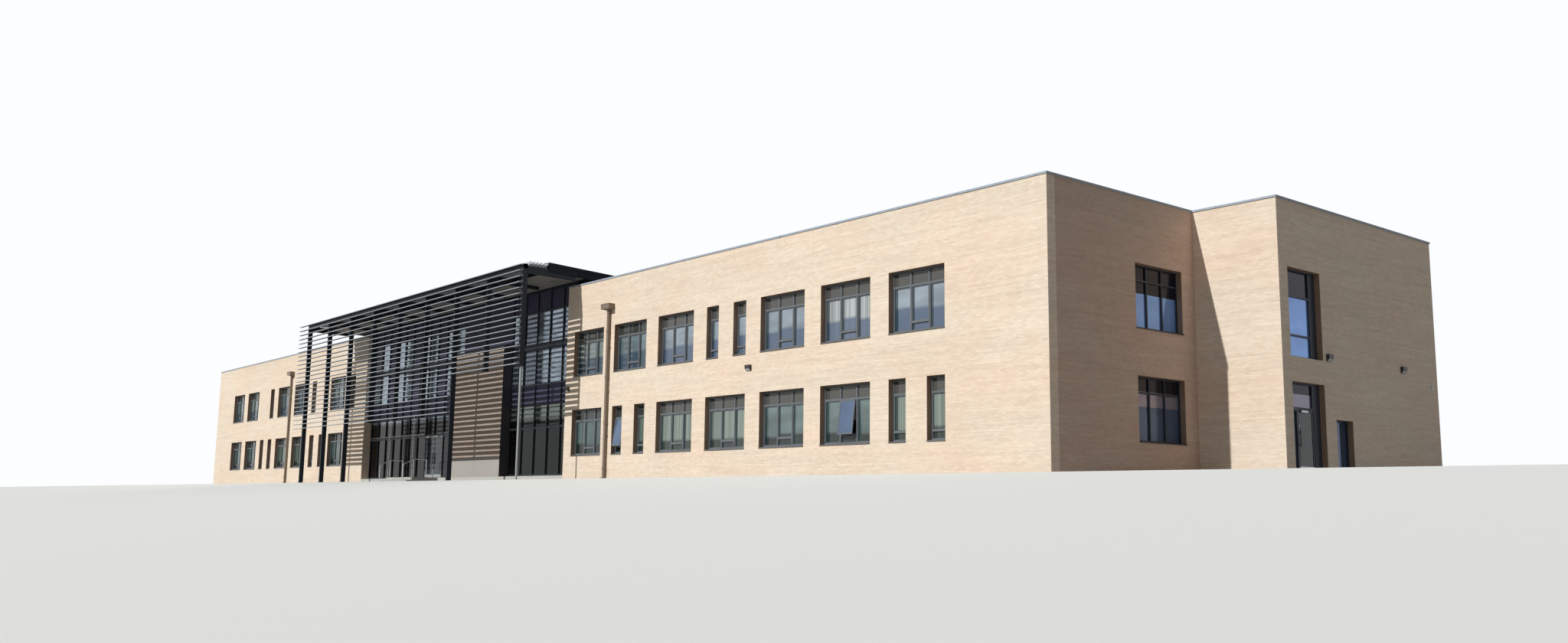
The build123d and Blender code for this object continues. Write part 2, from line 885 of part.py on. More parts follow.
def blade_places(first, last):
    """Places of the blades of some rows, counted from the top."""
    return [Location((blade_start, -screen_offset, top_blade - row * blade_pitch))
            for row in range(first, last)]


with BuildPart() as screen_blades_upper:
    with Locations(*blade_places(0, long_rows)):
        add(long_blade)
finish(screen_blades_upper.part, "screen_blades_upper")

with BuildPart() as screen_blades_lower:
    with Locations(*blade_places(long_rows, all_rows_of_blades)):
        add(short_blade)
finish(screen_blades_lower.part, "screen_blades_lower")

louvre_foot = floor_level + louvre_level

with BuildPart() as canopy_arms:
    for index in range(post_count):
        side_profile(screen_right - index * bay - arm_width / 2, arm_width,
                     (post_depth - screen_offset, louvre_foot), (-canopy_projection, louvre_foot),
                     (-canopy_projection, hall_eaves), (-arm_end, roof_underside(-arm_end)),
                     (-arm_end, roof_underside(-arm_end) - arm_height / 2),
                     (post_depth - screen_offset, louvre_foot - arm_height))
finish(canopy_arms.part, "canopy_arms")

with BuildPart() as canopy_louvres:
    for index in range(louvre_count):
        foot = -canopy_projection - louvre_pitch * (index + 1)
        side_profile(roof_left, roof_right - roof_left, (foot, louvre_foot),
                     (foot + louvre_thickness, louvre_foot),
                     (foot + louvre_thickness + louvre_rise, louvre_foot + louvre_chord),
                     (foot + louvre_rise, louvre_foot + louvre_chord))
finish(canopy_louvres.part, "canopy_louvres")

post_centre_y = -screen_offset + post_depth / 2

with BuildPart() as corner_post:
    with BuildSketch():
        with Locations((screen_right, post_centre_y)):
            Circle(base_plate_radius)
    extrude(amount=base_plate_thickness)
    with BuildSketch(Plane.XY.offset(base_plate_thickness)):
        with Locations((screen_right, post_centre_y)):
            Circle(corner_post_radius)
    extrude(amount=floor_level + step_height - base_plate_thickness)
finish(corner_post.part, "corner_post")

# Entrance steps and handrails
step_rise = floor_level / 2
steps_left = door_centre - landing_width / 2

with BuildPart() as entrance_steps:
    with BuildSketch(Plane.YZ.offset(steps_left)):
        with BuildLine():
            Polyline(
                (0, 0),
                (0, floor_level),
                (-landing_depth, floor_level),
                (-landing_depth, step_rise),
                (-landing_depth - tread_depth, step_rise),
                (-landing_depth - tread_depth, 0),
                close=True,
            )
        make_face()
    extrude(amount=landing_width)
finish(entrance_steps.part, "entrance_steps")


def handrail(rail_x):
    """Tube rail that is level on the landing and slopes down past the steps, on three posts."""
    level = floor_level + rail_height
    post_y = -landing_depth + rail_inset
    foot_y = -landing_depth - tread_depth - rail_inset
    with BuildLine(Plane.YZ.offset(rail_x)) as path:
        Polyline((-rail_start, floor_level), (-rail_start, level), (post_y, level),
                 (foot_y, level - floor_level), (foot_y, 0))
    with BuildSketch(Plane(origin=path.line @ 0, z_dir=path.line % 0)) as tube:
        RegularPolygon(rail_radius, rail_facets)
    sweep(tube.sketch, path=path.line, transition=Transition.RIGHT)
    with BuildSketch(Plane.XY.offset(floor_level)) as middle_post:
        with Locations((rail_x, post_y)):
            RegularPolygon(rail_radius, rail_facets)
    extrude(middle_post.sketch, amount=rail_height)


with BuildPart() as entrance_handrails:
    handrail(door_centre - landing_width / 2 + rail_inset)
    handrail(door_centre + landing_width / 2 - rail_inset)
finish(entrance_handrails.part, "entrance_handrails")


# Rainwater hoppers with their downpipes
def downpipe(position):
    """Tapered hopper on the wall with a square pipe and its clips below."""
    top = brick_top - hopper_drop
    waist = top - hopper_height * 0.6
    foot = top - hopper_height
    pipe_back = -pipe_gap
    pipe_front = pipe_back - pipe_width
    with BuildSketch(Plane.XY.offset(waist)) as rim:
        area(-position - hopper_width / 2, -position + hopper_width / 2, -hopper_depth, 0)
    extrude(rim.sketch, amount=top - waist)
    with BuildSketch(Plane.XY.offset(foot)) as outlet:
        area(-position - hopper_width / 4, -position + hopper_width / 4, -hopper_depth * 0.7, 0)
    loft([rim.sketch.face(), outlet.sketch.face()])
    with BuildSketch() as bore:
        area(-position - pipe_width / 2, -position + pipe_width / 2, pipe_front, pipe_back)
    extrude(bore.sketch, amount=foot)
    for share in (0.25, 0.5, 0.75):
        with BuildSketch(Plane.XY.offset(top * share)) as clip:
            area(-position - clip_width / 2, -position + clip_width / 2, pipe_back - pipe_width / 2, 0)
        extrude(clip.sketch, amount=clip_height)


with BuildPart() as downpipes:
    for position in pipe_positions:
        downpipe(position)
finish(downpipes.part, "downpipes")


# Lights and cameras
def wedge_light(face, position, height):
    """Bulkhead light with a sloping front."""
    with BuildSketch(face) as back:
        area(position - light_width / 2, position + light_width / 2, height, height + light_height)
    with BuildSketch(face.offset(light_depth)) as front:
        area(position - light_width / 2, position + light_width / 2,
             height + light_height * 0.5, height + light_height)
    loft([back.sketch.face(), front.sketch.face()])


with BuildPart() as wall_lights:
    for position in front_light_positions:
        wedge_light(front_face, -position, floor_level + front_light_height)
    for inset in end_light_insets:
        wedge_light(end_face, building_depth - inset, floor_level + end_light_height)
finish(wall_lights.part, "wall_lights")

camera_position = building_depth - camera_inset

with BuildPart() as cameras:
    with BuildSketch(end_face):
        with Locations((camera_position, floor_level + camera_height)):
            Circle(camera_back_radius)
    with BuildSketch(end_face.offset(camera_reach)):
        with Locations((camera_position, floor_level + camera_height)):
            Circle(camera_front_radius)
    loft()
    slab_on(left_face.offset(corner_camera_reach),
            (-wall_thickness, -wall_thickness + corner_camera_size, floor_level + corner_camera_height,
             floor_level + corner_camera_height + corner_camera_size), corner_camera_reach)
finish(cameras.part, "cameras")
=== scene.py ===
"""Looks of a two-storey brick school building, 1:10 scale model. Lengths are metres in the model."""

import math

import bpy
from mathutils import Matrix, Vector


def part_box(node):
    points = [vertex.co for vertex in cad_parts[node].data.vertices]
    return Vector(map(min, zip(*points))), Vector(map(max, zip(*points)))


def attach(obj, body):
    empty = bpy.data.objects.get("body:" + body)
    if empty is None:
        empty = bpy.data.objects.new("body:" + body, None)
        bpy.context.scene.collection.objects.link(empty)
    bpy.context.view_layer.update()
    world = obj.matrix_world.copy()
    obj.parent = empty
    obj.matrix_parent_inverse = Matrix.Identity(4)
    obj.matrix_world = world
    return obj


bl_info = {
    "name": "School building looks",
    "version": (1, 0, 0),
    "blender": (4, 5, 0),
    "location": "View3D > Sidebar > School",
    "description": "Brickwork, glazing, louvre screen, roofs and fittings of a school building model",
    "category": "Object",
}

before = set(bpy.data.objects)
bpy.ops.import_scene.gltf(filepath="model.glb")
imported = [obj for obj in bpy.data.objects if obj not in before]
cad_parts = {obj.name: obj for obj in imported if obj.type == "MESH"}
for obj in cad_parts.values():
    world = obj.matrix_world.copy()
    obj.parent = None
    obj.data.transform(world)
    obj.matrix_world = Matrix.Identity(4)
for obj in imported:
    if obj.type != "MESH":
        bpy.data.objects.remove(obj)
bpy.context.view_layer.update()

BUILDING = "building"

# Places of the main walls, the hall and its roof
corner_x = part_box("front_wall_right")[1].x
front_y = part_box("front_wall_right")[0].y
end_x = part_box("end_wall")[1].x
rear_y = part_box("rear_wall")[1].y
left_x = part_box("left_end_wall")[0].x
floor_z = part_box("entrance_plinth")[0].z
brick_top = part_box("front_wall_left")[1].z
upper_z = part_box("first_floor_slab")[1].z
hall_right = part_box("hall_frame_right")[1].x
hall_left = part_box("hall_frame_upper")[0].x
panel_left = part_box("entrance_plinth")[0].x
panel_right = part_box("entrance_plinth")[1].x
hall_front_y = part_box("hall_frame_upper")[0].y
hall_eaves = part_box("hall_frame_upper")[1].z
roof_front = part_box("hall_roof")[0].y
roof_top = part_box("hall_roof")[1].z

# Window grid: W is a wide window, P a pair of narrow ones, L or R one narrow window, a dash none
BAY = 0.36
WIDE = 0.267
NARROW = 0.084
SILL = 0.09
HEAD = 0.309
SETBACK = 0.02
BAR = 0.006
SILL_BOARD = 0.003
GLASS_INSET = SETBACK + 0.005
TRANSOM_DROP = 0.054
LOW_BAR = 0.036
RIGHT_FIRST = 0.70
LEFT_FIRST = 0.27
RIGHT_ROWS = ("PWWWWPW", "WWWPWWW")
LEFT_ROWS = ("-WPWWPWW", "LWLWWRWW")
REAR_COUNT = 22
STOREY = 0.375
WALL = 0.04

# Openings of the end wall and the return wall: near and far edge, bottom and top
END_OPENINGS = ((-0.111, 0.099, 0.41, 0.71), (-0.111, 0.099, 0.03, 0.328), (0.169, 0.284, 0.03, 0.215))
RETURN_OPENINGS = ((-0.51, -0.243, 0.495, 0.714), (-0.51, -0.243, 0.12, 0.339))

# Hall, canopy and louvre screen
ROOF_FALL = 0.053
SOFFIT = 0.985
POST_BAY = 0.36
POST_COUNT = 9
GROUND_POSTS = (2, 6, 7, 8)
STEP_POST = 2
BLADE_PITCH = 0.0275
LONG_ROWS = 18
ALL_ROWS = 25
HALL_BAYS = 11
HALL_BAYS_RIGHT = 5
HALL_BAY = (panel_left - hall_left) / HALL_BAYS
HALL_BAY_RIGHT = (hall_right - panel_right) / HALL_BAYS_RIGHT
RAIL_HEIGHTS = (0.36, 0.461, 0.6575, 0.839)

# How far small pieces are sunk into what they stand on
SUNK = 0.0002


# Settings a user would change
class SchoolSizes(bpy.types.PropertyGroup):
    brick_length: bpy.props.FloatProperty(
        name="Brick length", description="Length of a brick with its joint", default=0.0225, min=0.005,
        unit="LENGTH")
    brick_course: bpy.props.FloatProperty(
        name="Course height", description="Height of one brick course with its joint", default=0.0075,
        min=0.002, unit="LENGTH")
    mortar_joint: bpy.props.FloatProperty(
        name="Mortar joint", description="Thickness of the mortar joints", default=0.001, min=0.0002,
        unit="LENGTH")
    bead_width: bpy.props.FloatProperty(
        name="Bead width", description="Width of the sash bars round each pane", default=0.0032,
        min=0.0005, unit="LENGTH")
    cap_depth: bpy.props.FloatProperty(
        name="Cap depth", description="How far the cover caps stand in front of the hall frame",
        default=0.0025, min=0.0005, unit="LENGTH")
    # Blade nosing: the pale strip is a painted highlight of the lit front edge
    nose_height: bpy.props.FloatProperty(
        name="Blade nose", description="Height of the pale nosing on the front edge of each blade",
        default=0.0042, min=0.001, unit="LENGTH")
    board_width: bpy.props.FloatProperty(
        name="Soffit board", description="Width of the boards under the canopy with their joint",
        default=0.021, min=0.005, unit="LENGTH")
    strap_spacing: bpy.props.FloatProperty(
        name="Coping length", description="Distance between the joint straps of the coping", default=0.3,
        min=0.05, unit="LENGTH")
    seam_spacing: bpy.props.FloatProperty(
        name="Roof seam spacing", description="Distance between the seams of the roof sheets",
        default=0.12, min=0.02, unit="LENGTH")


class SchoolColours(bpy.types.PropertyGroup):
    brick_pale: bpy.props.FloatVectorProperty(
        name="Pale brick", description="Lighter of the two brick colours", subtype="COLOR", size=3,
        default=(0.865, 0.738, 0.60), min=0, max=1)
    brick_deep: bpy.props.FloatVectorProperty(
        name="Deep brick", description="Darker of the two brick colours", subtype="COLOR", size=3,
        default=(0.79, 0.645, 0.515), min=0, max=1)
    mortar: bpy.props.FloatVectorProperty(
        name="Mortar", description="Colour of the joints", subtype="COLOR", size=3,
        default=(0.74, 0.63, 0.53), min=0, max=1)
    # Frames: a dark grey lightened for a painted sheen
    dark_frame: bpy.props.FloatVectorProperty(
        name="Frames", description="Paint of the window and door frames", subtype="COLOR", size=3,
        default=(0.15, 0.161, 0.177), min=0, max=1)
    # Dark blade faces: painted shade
    shaded_screen_paint: bpy.props.FloatVectorProperty(
        name="Screen", description="Paint of the louvre blades", subtype="COLOR", size=3,
        default=(0.045, 0.05, 0.06), min=0, max=1)
    # Pale blade nosing: a painted highlight of the lit front edge
    lit_nose_paint: bpy.props.FloatVectorProperty(
        name="Blade nosing", description="Paint of the nosing on the blades", subtype="COLOR", size=3,
        default=(0.36, 0.39, 0.435), min=0, max=1)
    coping_paint: bpy.props.FloatVectorProperty(
        name="Coping", description="Paint of the copings", subtype="COLOR", size=3,
        default=(0.38, 0.43, 0.50), min=0, max=1)
    # Tall panes: colour of the painted sky reflection
    sky_reflection_tint: bpy.props.FloatVectorProperty(
        name="Tall panes", description="Tint of the tall window panes", subtype="COLOR", size=3,
        default=(0.35, 0.41, 0.48), min=0, max=1)
    top_tint: bpy.props.FloatVectorProperty(
        name="Top panes", description="Tint of the panes over the transoms", subtype="COLOR", size=3,
        default=(0.11, 0.106, 0.098), min=0, max=1)
    blind_cloth: bpy.props.FloatVectorProperty(
        name="Blinds", description="Cloth of the blinds", subtype="COLOR", size=3,
        default=(0.60, 0.62, 0.62), min=0, max=1)


class SchoolLight(bpy.types.PropertyGroup):
    sun_strength: bpy.props.FloatProperty(
        name="Key strength", description="Strength of the key lamp", default=3.25, min=0)
    sun_softness: bpy.props.FloatProperty(
        name="Key softness", description="Angle that the key lamp covers", default=math.radians(0.55),
        min=0, subtype="ANGLE")
    fill: bpy.props.FloatProperty(
        name="Fill", description="Strength of the surroundings on diffuse surfaces", default=0.22, min=0)


# Meshes
def new_piece(name, vertices, faces, material, body=BUILDING):
    """One mesh object that rides on a body of the frame."""
    mesh = bpy.data.meshes.new(name)
    mesh.from_pydata(vertices, [], faces)
    mesh.update()
    piece = bpy.data.objects.new(name, mesh)
    bpy.context.scene.collection.objects.link(piece)
    mesh.materials.append(material)
    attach(piece, body)
    return piece


BOX_FACES = ((0, 2, 3, 1), (4, 5, 7, 6), (0, 1, 5, 4), (2, 6, 7, 3), (0, 4, 6, 2), (1, 3, 7, 5))


def add_hexahedron(vertices, faces, corners):
    """Add eight corners, given along X, then Y, then Z, and their faces to a mesh being listed."""
    first = len(vertices)
    vertices += corners
    faces += [[first + corner for corner in face] for face in BOX_FACES]


def add_prism(vertices, faces, centre, axis, radius, reach, sides=6):
    """Add a bolt, lens or pipe ring along one axis to a mesh being listed."""
    first = len(vertices)
    across, up = ((1, 2), (2, 0), (0, 1))[axis]
    for offset in (0.0, reach):
        for index in range(sides):
            point = list(centre)
            point[axis] += offset
            point[across] += radius * math.cos(math.tau * index / sides)
            point[up] += radius * math.sin(math.tau * index / sides)
            vertices.append(tuple(point))
    faces.append([first + index for index in reversed(range(sides))])
    faces.append([first + sides + index for index in range(sides)])
    for index in range(sides):
        other = (index + 1) % sides
        faces.append([first + index, first + other, first + sides + other, first + sides + index])


def prisms_piece(name, prisms, material, body=BUILDING, sides=6):
    """One joined mesh of many prisms: centre, axis, radius and reach."""
    vertices, faces = [], []
    for prism in prisms:
        add_prism(vertices, faces, *prism, sides)
    return new_piece(name, vertices, faces, material, body)


def boxes_piece(name, boxes, material, body=BUILDING, bevel=0.0, fall=0.0):
    """One joined mesh of many boxes, bevelled or falling with the hall roof where asked."""
    vertices, faces = [], []
    for x0, x1, y0, y1, z0, z1 in boxes:
        add_hexahedron(vertices, faces, [(x, y, z - fall * (y - roof_front) if fall else z)
                                         for z in (z0, z1) for y in (y0, y1) for x in (x0, x1)])
    piece = new_piece(name, vertices, faces, material, body)
    if bevel:
        soften = piece.modifiers.new("soft_edges", "BEVEL")
        soften.width = bevel
        soften.segments = 1
    return piece


def around(middle, half):
    """Two planes at the same distance from a middle one."""
    return middle - half, middle + half


def between(start, stop, count):
    """Places that part a stretch into equal lengths, without its ends."""
    return [start + (stop - start) * index / count for index in range(1, count)]


# Shader nodes
class Signal:
    """Output of a shader node that takes part in arithmetic with numbers and other outputs."""

    def __init__(self, tree, socket):
        self.tree, self.socket = tree, socket

    def math(self, operation, other=0.5):
        """Math node whose first input is this output."""
        return add_node(self.tree, "Math", {0: self, 1: other}, operation=operation)

    def __add__(self, other):
        return self.math("ADD", other)

    def __sub__(self, other):
        return self.math("SUBTRACT", other)

    def __rsub__(self, other):
        return add_node(self.tree, "Math", {0: other, 1: self}, operation="SUBTRACT")

    def __mul__(self, other):
        return self.math("MULTIPLY", other)

    def __truediv__(self, other):
        return self.math("DIVIDE", other)

    def __gt__(self, other):
        return self.math("GREATER_THAN", other)

    def __lt__(self, other):
        return self.math("LESS_THAN", other)

    def larger(self, other):
        """The larger of two values."""
        return self.math("MAXIMUM", other)


def feed(source, socket):
    """Link a signal to an input, or write a number, vector or colour on it."""
    if isinstance(source, Signal):
        source.tree.links.new(source.socket, socket)
    else:
        socket.default_value = (*source, 1) if socket.type == "RGBA" else source


def new_node(tree, kind, inputs, **settings):
    """Shader node with its settings and inputs."""
    node = tree.nodes.new("ShaderNode" + kind)
    for name, value in settings.items():
        setattr(node, name, value)
    for key, source in inputs.items():
        feed(source, node.inputs[key])
    return node


def add_node(tree, kind, inputs, output=0, **settings):
    """One output of a new shader node."""
    return Signal(tree, new_node(tree, kind, inputs, **settings).outputs[output])


def mix_colour(share, first, second, blend="MIX"):
    """Mix of two colours."""
    tree = next(source.tree for source in (share, first, second) if isinstance(source, Signal))
    return add_node(tree, "Mix", {0: share, 6: first, 7: second}, 2, data_type="RGBA", blend_type=blend)


def tinted(colour, tint):
    """Colour multiplied by a fixed tint."""
    return mix_colour(1.0, colour, tint, "MULTIPLY")


def toned(colour, tone):
    """Colour or vector times a value."""
    return add_node(colour.tree, "VectorMath", {0: colour, "Scale": tone}, operation="SCALE")


def noise(vector, scale, detail=3.0):
    """Noise over a vector."""
    inputs = {"Vector": vector, "Scale": scale, "Detail": detail, "Roughness": 0.55}
    return add_node(vector.tree, "TexNoise", inputs, "Fac")


def stretched_noise(vector, x, y, detail, z=1.0):
    """Noise over a vector that is scaled along each axis."""
    stretched = add_node(vector.tree, "VectorMath", {0: vector, 1: (x, y, z)}, operation="MULTIPLY")
    return noise(stretched, 1.0, detail)


def spread(value, low, high, out_low=0.0, out_high=1.0):
    """Map a value from one range to another and clamp it."""
    ends = {"Value": value, "From Min": low, "From Max": high, "To Min": out_low, "To Max": out_high}
    return add_node(value.tree, "MapRange", ends, "Result")


def cell_number(coordinate, start, pitch):
    """Whole number of the bay that a coordinate falls in."""
    return ((coordinate - start) / pitch).math("FLOOR")


def random_of(first, second):
    """Random number from 0 to 1 for a pair of whole numbers."""
    pair = add_node(first.tree, "CombineXYZ", {0: first, 1: second})
    return add_node(first.tree, "TexWhiteNoise", {"Vector": pair}, "Value")


def split(vector):
    """X, Y and Z of a vector."""
    node = new_node(vector.tree, "SeparateXYZ", {0: vector})
    return [Signal(vector.tree, socket) for socket in node.outputs]


def place_and_facing(tree):
    """The object's own coordinates and normals."""
    source = tree.nodes.new("ShaderNodeTexCoord")
    return Signal(tree, source.outputs["Object"]), Signal(tree, source.outputs["Normal"])


def wall_coordinates(tree):
    """Vector of the distance along a wall and the height, the object's own place, and its X, Y and Z."""
    place, facing = place_and_facing(tree)
    x, y, z = split(place)
    is_end = split(facing)[0].math("ABSOLUTE") > 0.5
    along = add_node(tree, "Mix", {0: is_end, 2: x, 3: y})
    return add_node(tree, "CombineXYZ", {0: along, 1: z}), place, (x, y, z)


# Shared effects: node groups that put out values, masks and colours only
def open_group(name, **inputs):
    """New shader node group with inputs for colours and values; gives its tree and its inputs."""
    tree = bpy.data.node_groups.new(name, "ShaderNodeTree")
    for label, value in inputs.items():
        is_colour = isinstance(value, tuple)
        kind = "NodeSocketColor" if is_colour else "NodeSocketFloat"
        socket = tree.interface.new_socket(label, in_out="INPUT", socket_type=kind)
        socket.default_value = (*value, 1) if is_colour else value
    entry = tree.nodes.new("NodeGroupInput")
    return tree, {label: Signal(tree, entry.outputs[label]) for label in inputs}


def close_group(tree, **outputs):
    """Outputs of a group: Colour is a colour, and the others are values."""
    for label in outputs:
        kind = "NodeSocketColor" if label == "Colour" else "NodeSocketFloat"
        tree.interface.new_socket(label, in_out="OUTPUT", socket_type=kind)
    leave = tree.nodes.new("NodeGroupOutput")
    for label, signal in outputs.items():
        feed(signal, leave.inputs[label])


def brick_bond_group():
    """Stretcher bond with colour that changes from brick to brick and course to course."""
    tree, given = open_group("brick_bond", Pale=(0.8, 0.7, 0.55), Deep=(0.7, 0.55, 0.43),
                             Mortar=(0.65, 0.58, 0.5), Length=0.0225, Course=0.0075, Joint=0.001)
    wall, place, _ = wall_coordinates(tree)
    bond = new_node(tree, "TexBrick", {
        "Vector": wall, "Color1": given["Pale"], "Color2": given["Deep"], "Mortar": given["Mortar"],
        "Scale": 1.0, "Mortar Size": given["Joint"] * 0.5, "Mortar Smooth": 0.3,
        "Brick Width": given["Length"], "Row Height": given["Course"]})
    laid, gaps = Signal(tree, bond.outputs["Color"]), Signal(tree, bond.outputs["Fac"])
    bands = spread(stretched_noise(wall, 5.0, 133.0, 1.0), 0.3, 0.7, 0.945, 1.05)
    patches = spread(noise(place, 1.6, 4.0), 0.3, 0.7, -0.02, 0.02)
    lifts = spread(stretched_noise(wall, 0.7, 9.0, 3.0), 0.35, 0.65, -0.025, 0.025)
    courses = spread(stretched_noise(wall, 1.8, 45.0, 2.0), 0.35, 0.65, -0.035, 0.03)
    areas = spread(stretched_noise(wall, 2.2, 5.0, 3.0), 0.42, 0.62)
    warm = mix_colour(areas * 0.6, laid, tinted(laid, (1.02, 0.93, 0.90)))
    height = spread(noise(place, 900.0, 2.0), 0.2, 0.8, 0.85, 1.0) - gaps
    close_group(tree, Colour=toned(warm, bands + patches + lifts + courses), Height=height)


def weathering_group():
    """Rain streaks below a top edge and splashes above the ground, over a colour."""
    tree, given = open_group("weathering", Colour=(0.5, 0.5, 0.5), Dirt=(0.2, 0.18, 0.15), Amount=0.2,
                             Top=0.94, Reach=0.1)
    wall, place, (_, _, z) = wall_coordinates(tree)
    fade = 1.0 - (given["Top"] - z) / given["Reach"]
    run = fade.larger(0.0) * spread(stretched_noise(wall, 60.0, 1.6, 3.0), 0.35, 0.75)
    splash = spread(z, 0.0, 0.07, 1.0, 0.0) * spread(noise(place, 14.0), 0.3, 0.7)
    patches = spread(noise(place, 4.5, 5.0), 0.5, 0.85, 0.0, 0.5)
    mask = (run.larger(splash).larger(patches) * given["Amount"]).math("MINIMUM", 1.0)
    close_group(tree, Colour=mix_colour(mask, given["Colour"], given["Dirt"]))


def grain_group():
    """Fine grain and broad mottling for paint, concrete and sheet."""
    tree, given = open_group("fine_grain", Colour=(0.5, 0.5, 0.5), Scale=200.0, Mottle=0.1)
    place, _ = place_and_facing(tree)
    fine = noise(toned(place, given["Scale"]), 1.0)
    both = spread(fine, 0.3, 0.7, -0.5, 0.5) + spread(noise(place, 7.0, 4.0), 0.3, 0.7, -0.5, 0.5)
    close_group(tree, Colour=toned(given["Colour"], both * given["Mottle"] + 1.0), Height=fine)


def pane_tint_group():
    """Tint of the window panes: grey over the transom, a painted sky reflection or curtain folds below,
    darker at the foot.
    """
    tree, given = open_group("pane_tint", Sky=(0.40, 0.46, 0.53), Top=(0.15, 0.155, 0.155),
                             Foot=(0.035, 0.04, 0.035), Horizon=(0.10, 0.145, 0.24),
                             Curtain=(0.58, 0.61, 0.63))
    wall, _, (x, y, z) = wall_coordinates(tree)
    row = cell_number(z, floor_z, STOREY)
    upper = row > 0.5
    height = z - floor_z - row * STOREY
    in_front = y < (front_y + rear_y) / 2
    left_wing = (x < hall_left) * in_front
    # Bay and light of a window, counted along the front from the right
    right_start, left_start = corner_x - RIGHT_FIRST + WIDE, hall_left - LEFT_FIRST + WIDE
    along = left_wing * (left_start - right_start) + right_start - x
    bay = (along / BAY).math("FLOOR")
    inner, light_pitch = along - bay * BAY, WIDE / 3
    light = (inner / light_pitch).math("FLOOR")
    chance = random_of(bay * 4.0 + light, row)
    # Painted sky reflection with painted clouds, or the folds of a drawn curtain
    curtained = (bay * 0.22 + upper * 0.8 + 0.8).math("FRACT")
    drawn = curtained + chance * 0.15 > upper * 0.4 + 0.45
    folds = spread(stretched_noise(wall, 150.0, 1.0, 1.0), 0.3, 0.7, 0.55, 1.1)
    cloud_reflection = spread(stretched_noise(wall, 6.0, 16.0, 3.0), 0.35, 0.65, 0.8, 1.15)
    shade = cloud_reflection * spread(chance, 0.0, 1.0, 0.84, 1.08) * spread(height, 0.14, 0.24, 0.86, 1.1)
    pane = toned(mix_colour(drawn, given["Sky"], given["Curtain"]),
                 add_node(tree, "Mix", {0: drawn, 2: shade, 3: folds}))
    # Darker foot of the panes, with a painted horizon reflection in the upper row; a darker, greener ground
    # row; and a dark strip at one edge of each light, a painted reflection of the mullion's shaded side
    foot = spread(height - (upper * 0.035 + chance * 0.02), 0.122, 0.134, 0.85, 0.0)
    pane = mix_colour(foot, pane, mix_colour(upper, given["Foot"], given["Horizon"]))
    pane = mix_colour(upper, tinted(pane, (0.54, 0.62, 0.53)), pane)
    across = inner / light_pitch - light + (light > 1.5) * 0.08
    pane = mix_colour(spread(across, 0.82, 0.84, 0.0, 0.75), pane, (0.015, 0.045, 0.055))
    tint = mix_colour(height > HEAD - TRANSOM_DROP, pane, given["Top"])
    # The left wing and the bays next to the hall are darker: a painted darkening of the panes' reflections
    by_hall = spread(along, 4.7 * BAY, 5.0 * BAY, 0.0, 0.85) * in_front
    close_group(tree, Colour=mix_colour(left_wing.larger(by_hall), tint, tinted(tint, (0.42, 0.50, 0.46))))


def bay_tint_group():
    """Tint of the hall glass: pale bays, darker at the ground, with one dark bay on the right."""
    tree, given = open_group("bay_tint", Pale=(0.32, 0.385, 0.45), Right=(0.33, 0.39, 0.46),
                             Dark=(0.02, 0.025, 0.035), Low=(0.018, 0.013, 0.011), Band=(0.19, 0.22, 0.20))
    wall, _, (x, _, z) = wall_coordinates(tree)
    left_part = x < panel_right
    band_foot, band_top, ground_row = 0.305, 0.325, 0.385
    dark = cell_number(x, panel_right, HALL_BAY_RIGHT).math("COMPARE", 1.0) * 0.6
    # Painted cloud reflection on the hall glass
    cloud_reflection = spread(stretched_noise(wall, 9.0, 14.0, 3.0), 0.35, 0.65, 0.75, 1.15)
    pale = mix_colour(left_part, given["Right"], given["Pale"])
    glass = toned(mix_colour(dark, pale, given["Dark"]), cloud_reflection)
    glass = mix_colour(spread(z, upper_z - 0.05, upper_z - 0.01, 1.0, 0.0) * left_part, glass, given["Low"])
    right_foot = mix_colour(spread(z, band_foot, band_top), (0.008, 0.013, 0.010), given["Band"])
    close_group(tree, Colour=mix_colour((z < ground_row) * (1.0 - left_part), glass, right_foot))


def end_tint_group():
    """Tint of the end windows: a painted blue sky reflection below the top rail, near black over it."""
    tree, given = open_group("end_tint", Blue=(0.27, 0.47, 0.96), Top=(0.02, 0.02, 0.03),
                             Foot=(0.05, 0.06, 0.07))
    wall, _, (_, _, z) = wall_coordinates(tree)
    # Painted sky reflection, varied by noise
    sky = toned(given["Blue"], spread(stretched_noise(wall, 5.0, 9.0, 3.0), 0.35, 0.65, 0.85, 1.1))
    upper_rail, lower_rail, lower_head, low_light = 0.618, 0.29, 0.36, 0.24
    over_rail = (z > upper_rail).larger((z > lower_rail) * (z < lower_head))
    ground = z < low_light
    tint = mix_colour(ground * 0.8, sky, given["Foot"])
    tint = mix_colour((z < lower_head - 0.01) * (1.0 - ground), tint, (0.30, 0.28, 0.36))
    close_group(tree, Colour=mix_colour(over_rail, tint, given["Top"]))


def blade_tint_group():
    """Paint of a blade: pale on the front edge, a painted highlight of the lit edge, and on the cut ends;
    dark elsewhere, painted shade; with dust on top.
    """
    tree, given = open_group("blade_tint", Paint=(0.05, 0.05, 0.06), Edge=(0.42, 0.45, 0.5),
                             Dust=(0.3, 0.29, 0.27))
    place, facing = place_and_facing(tree)
    sideways, forwards, upwards = split(facing)
    # Front faces, a painted highlight, and cut ends are pale; the other faces are dark, painted shade
    edge = (forwards < -0.8).larger(sideways.math("ABSOLUTE") > 0.8)
    wear = stretched_noise(place, 5.0, 40.0, 4.0, z=40.0)
    painted = mix_colour(edge, given["Paint"], given["Edge"])
    dusty = mix_colour((upwards > 0.6) * spread(wear, 0.35, 0.7, 0.1, 0.5), painted, given["Dust"])
    close_group(tree, Colour=toned(dusty, spread(wear, 0.3, 0.7, 0.88, 1.1)),
                Rough=spread(wear, 0.3, 0.7, 0.42, 0.6))


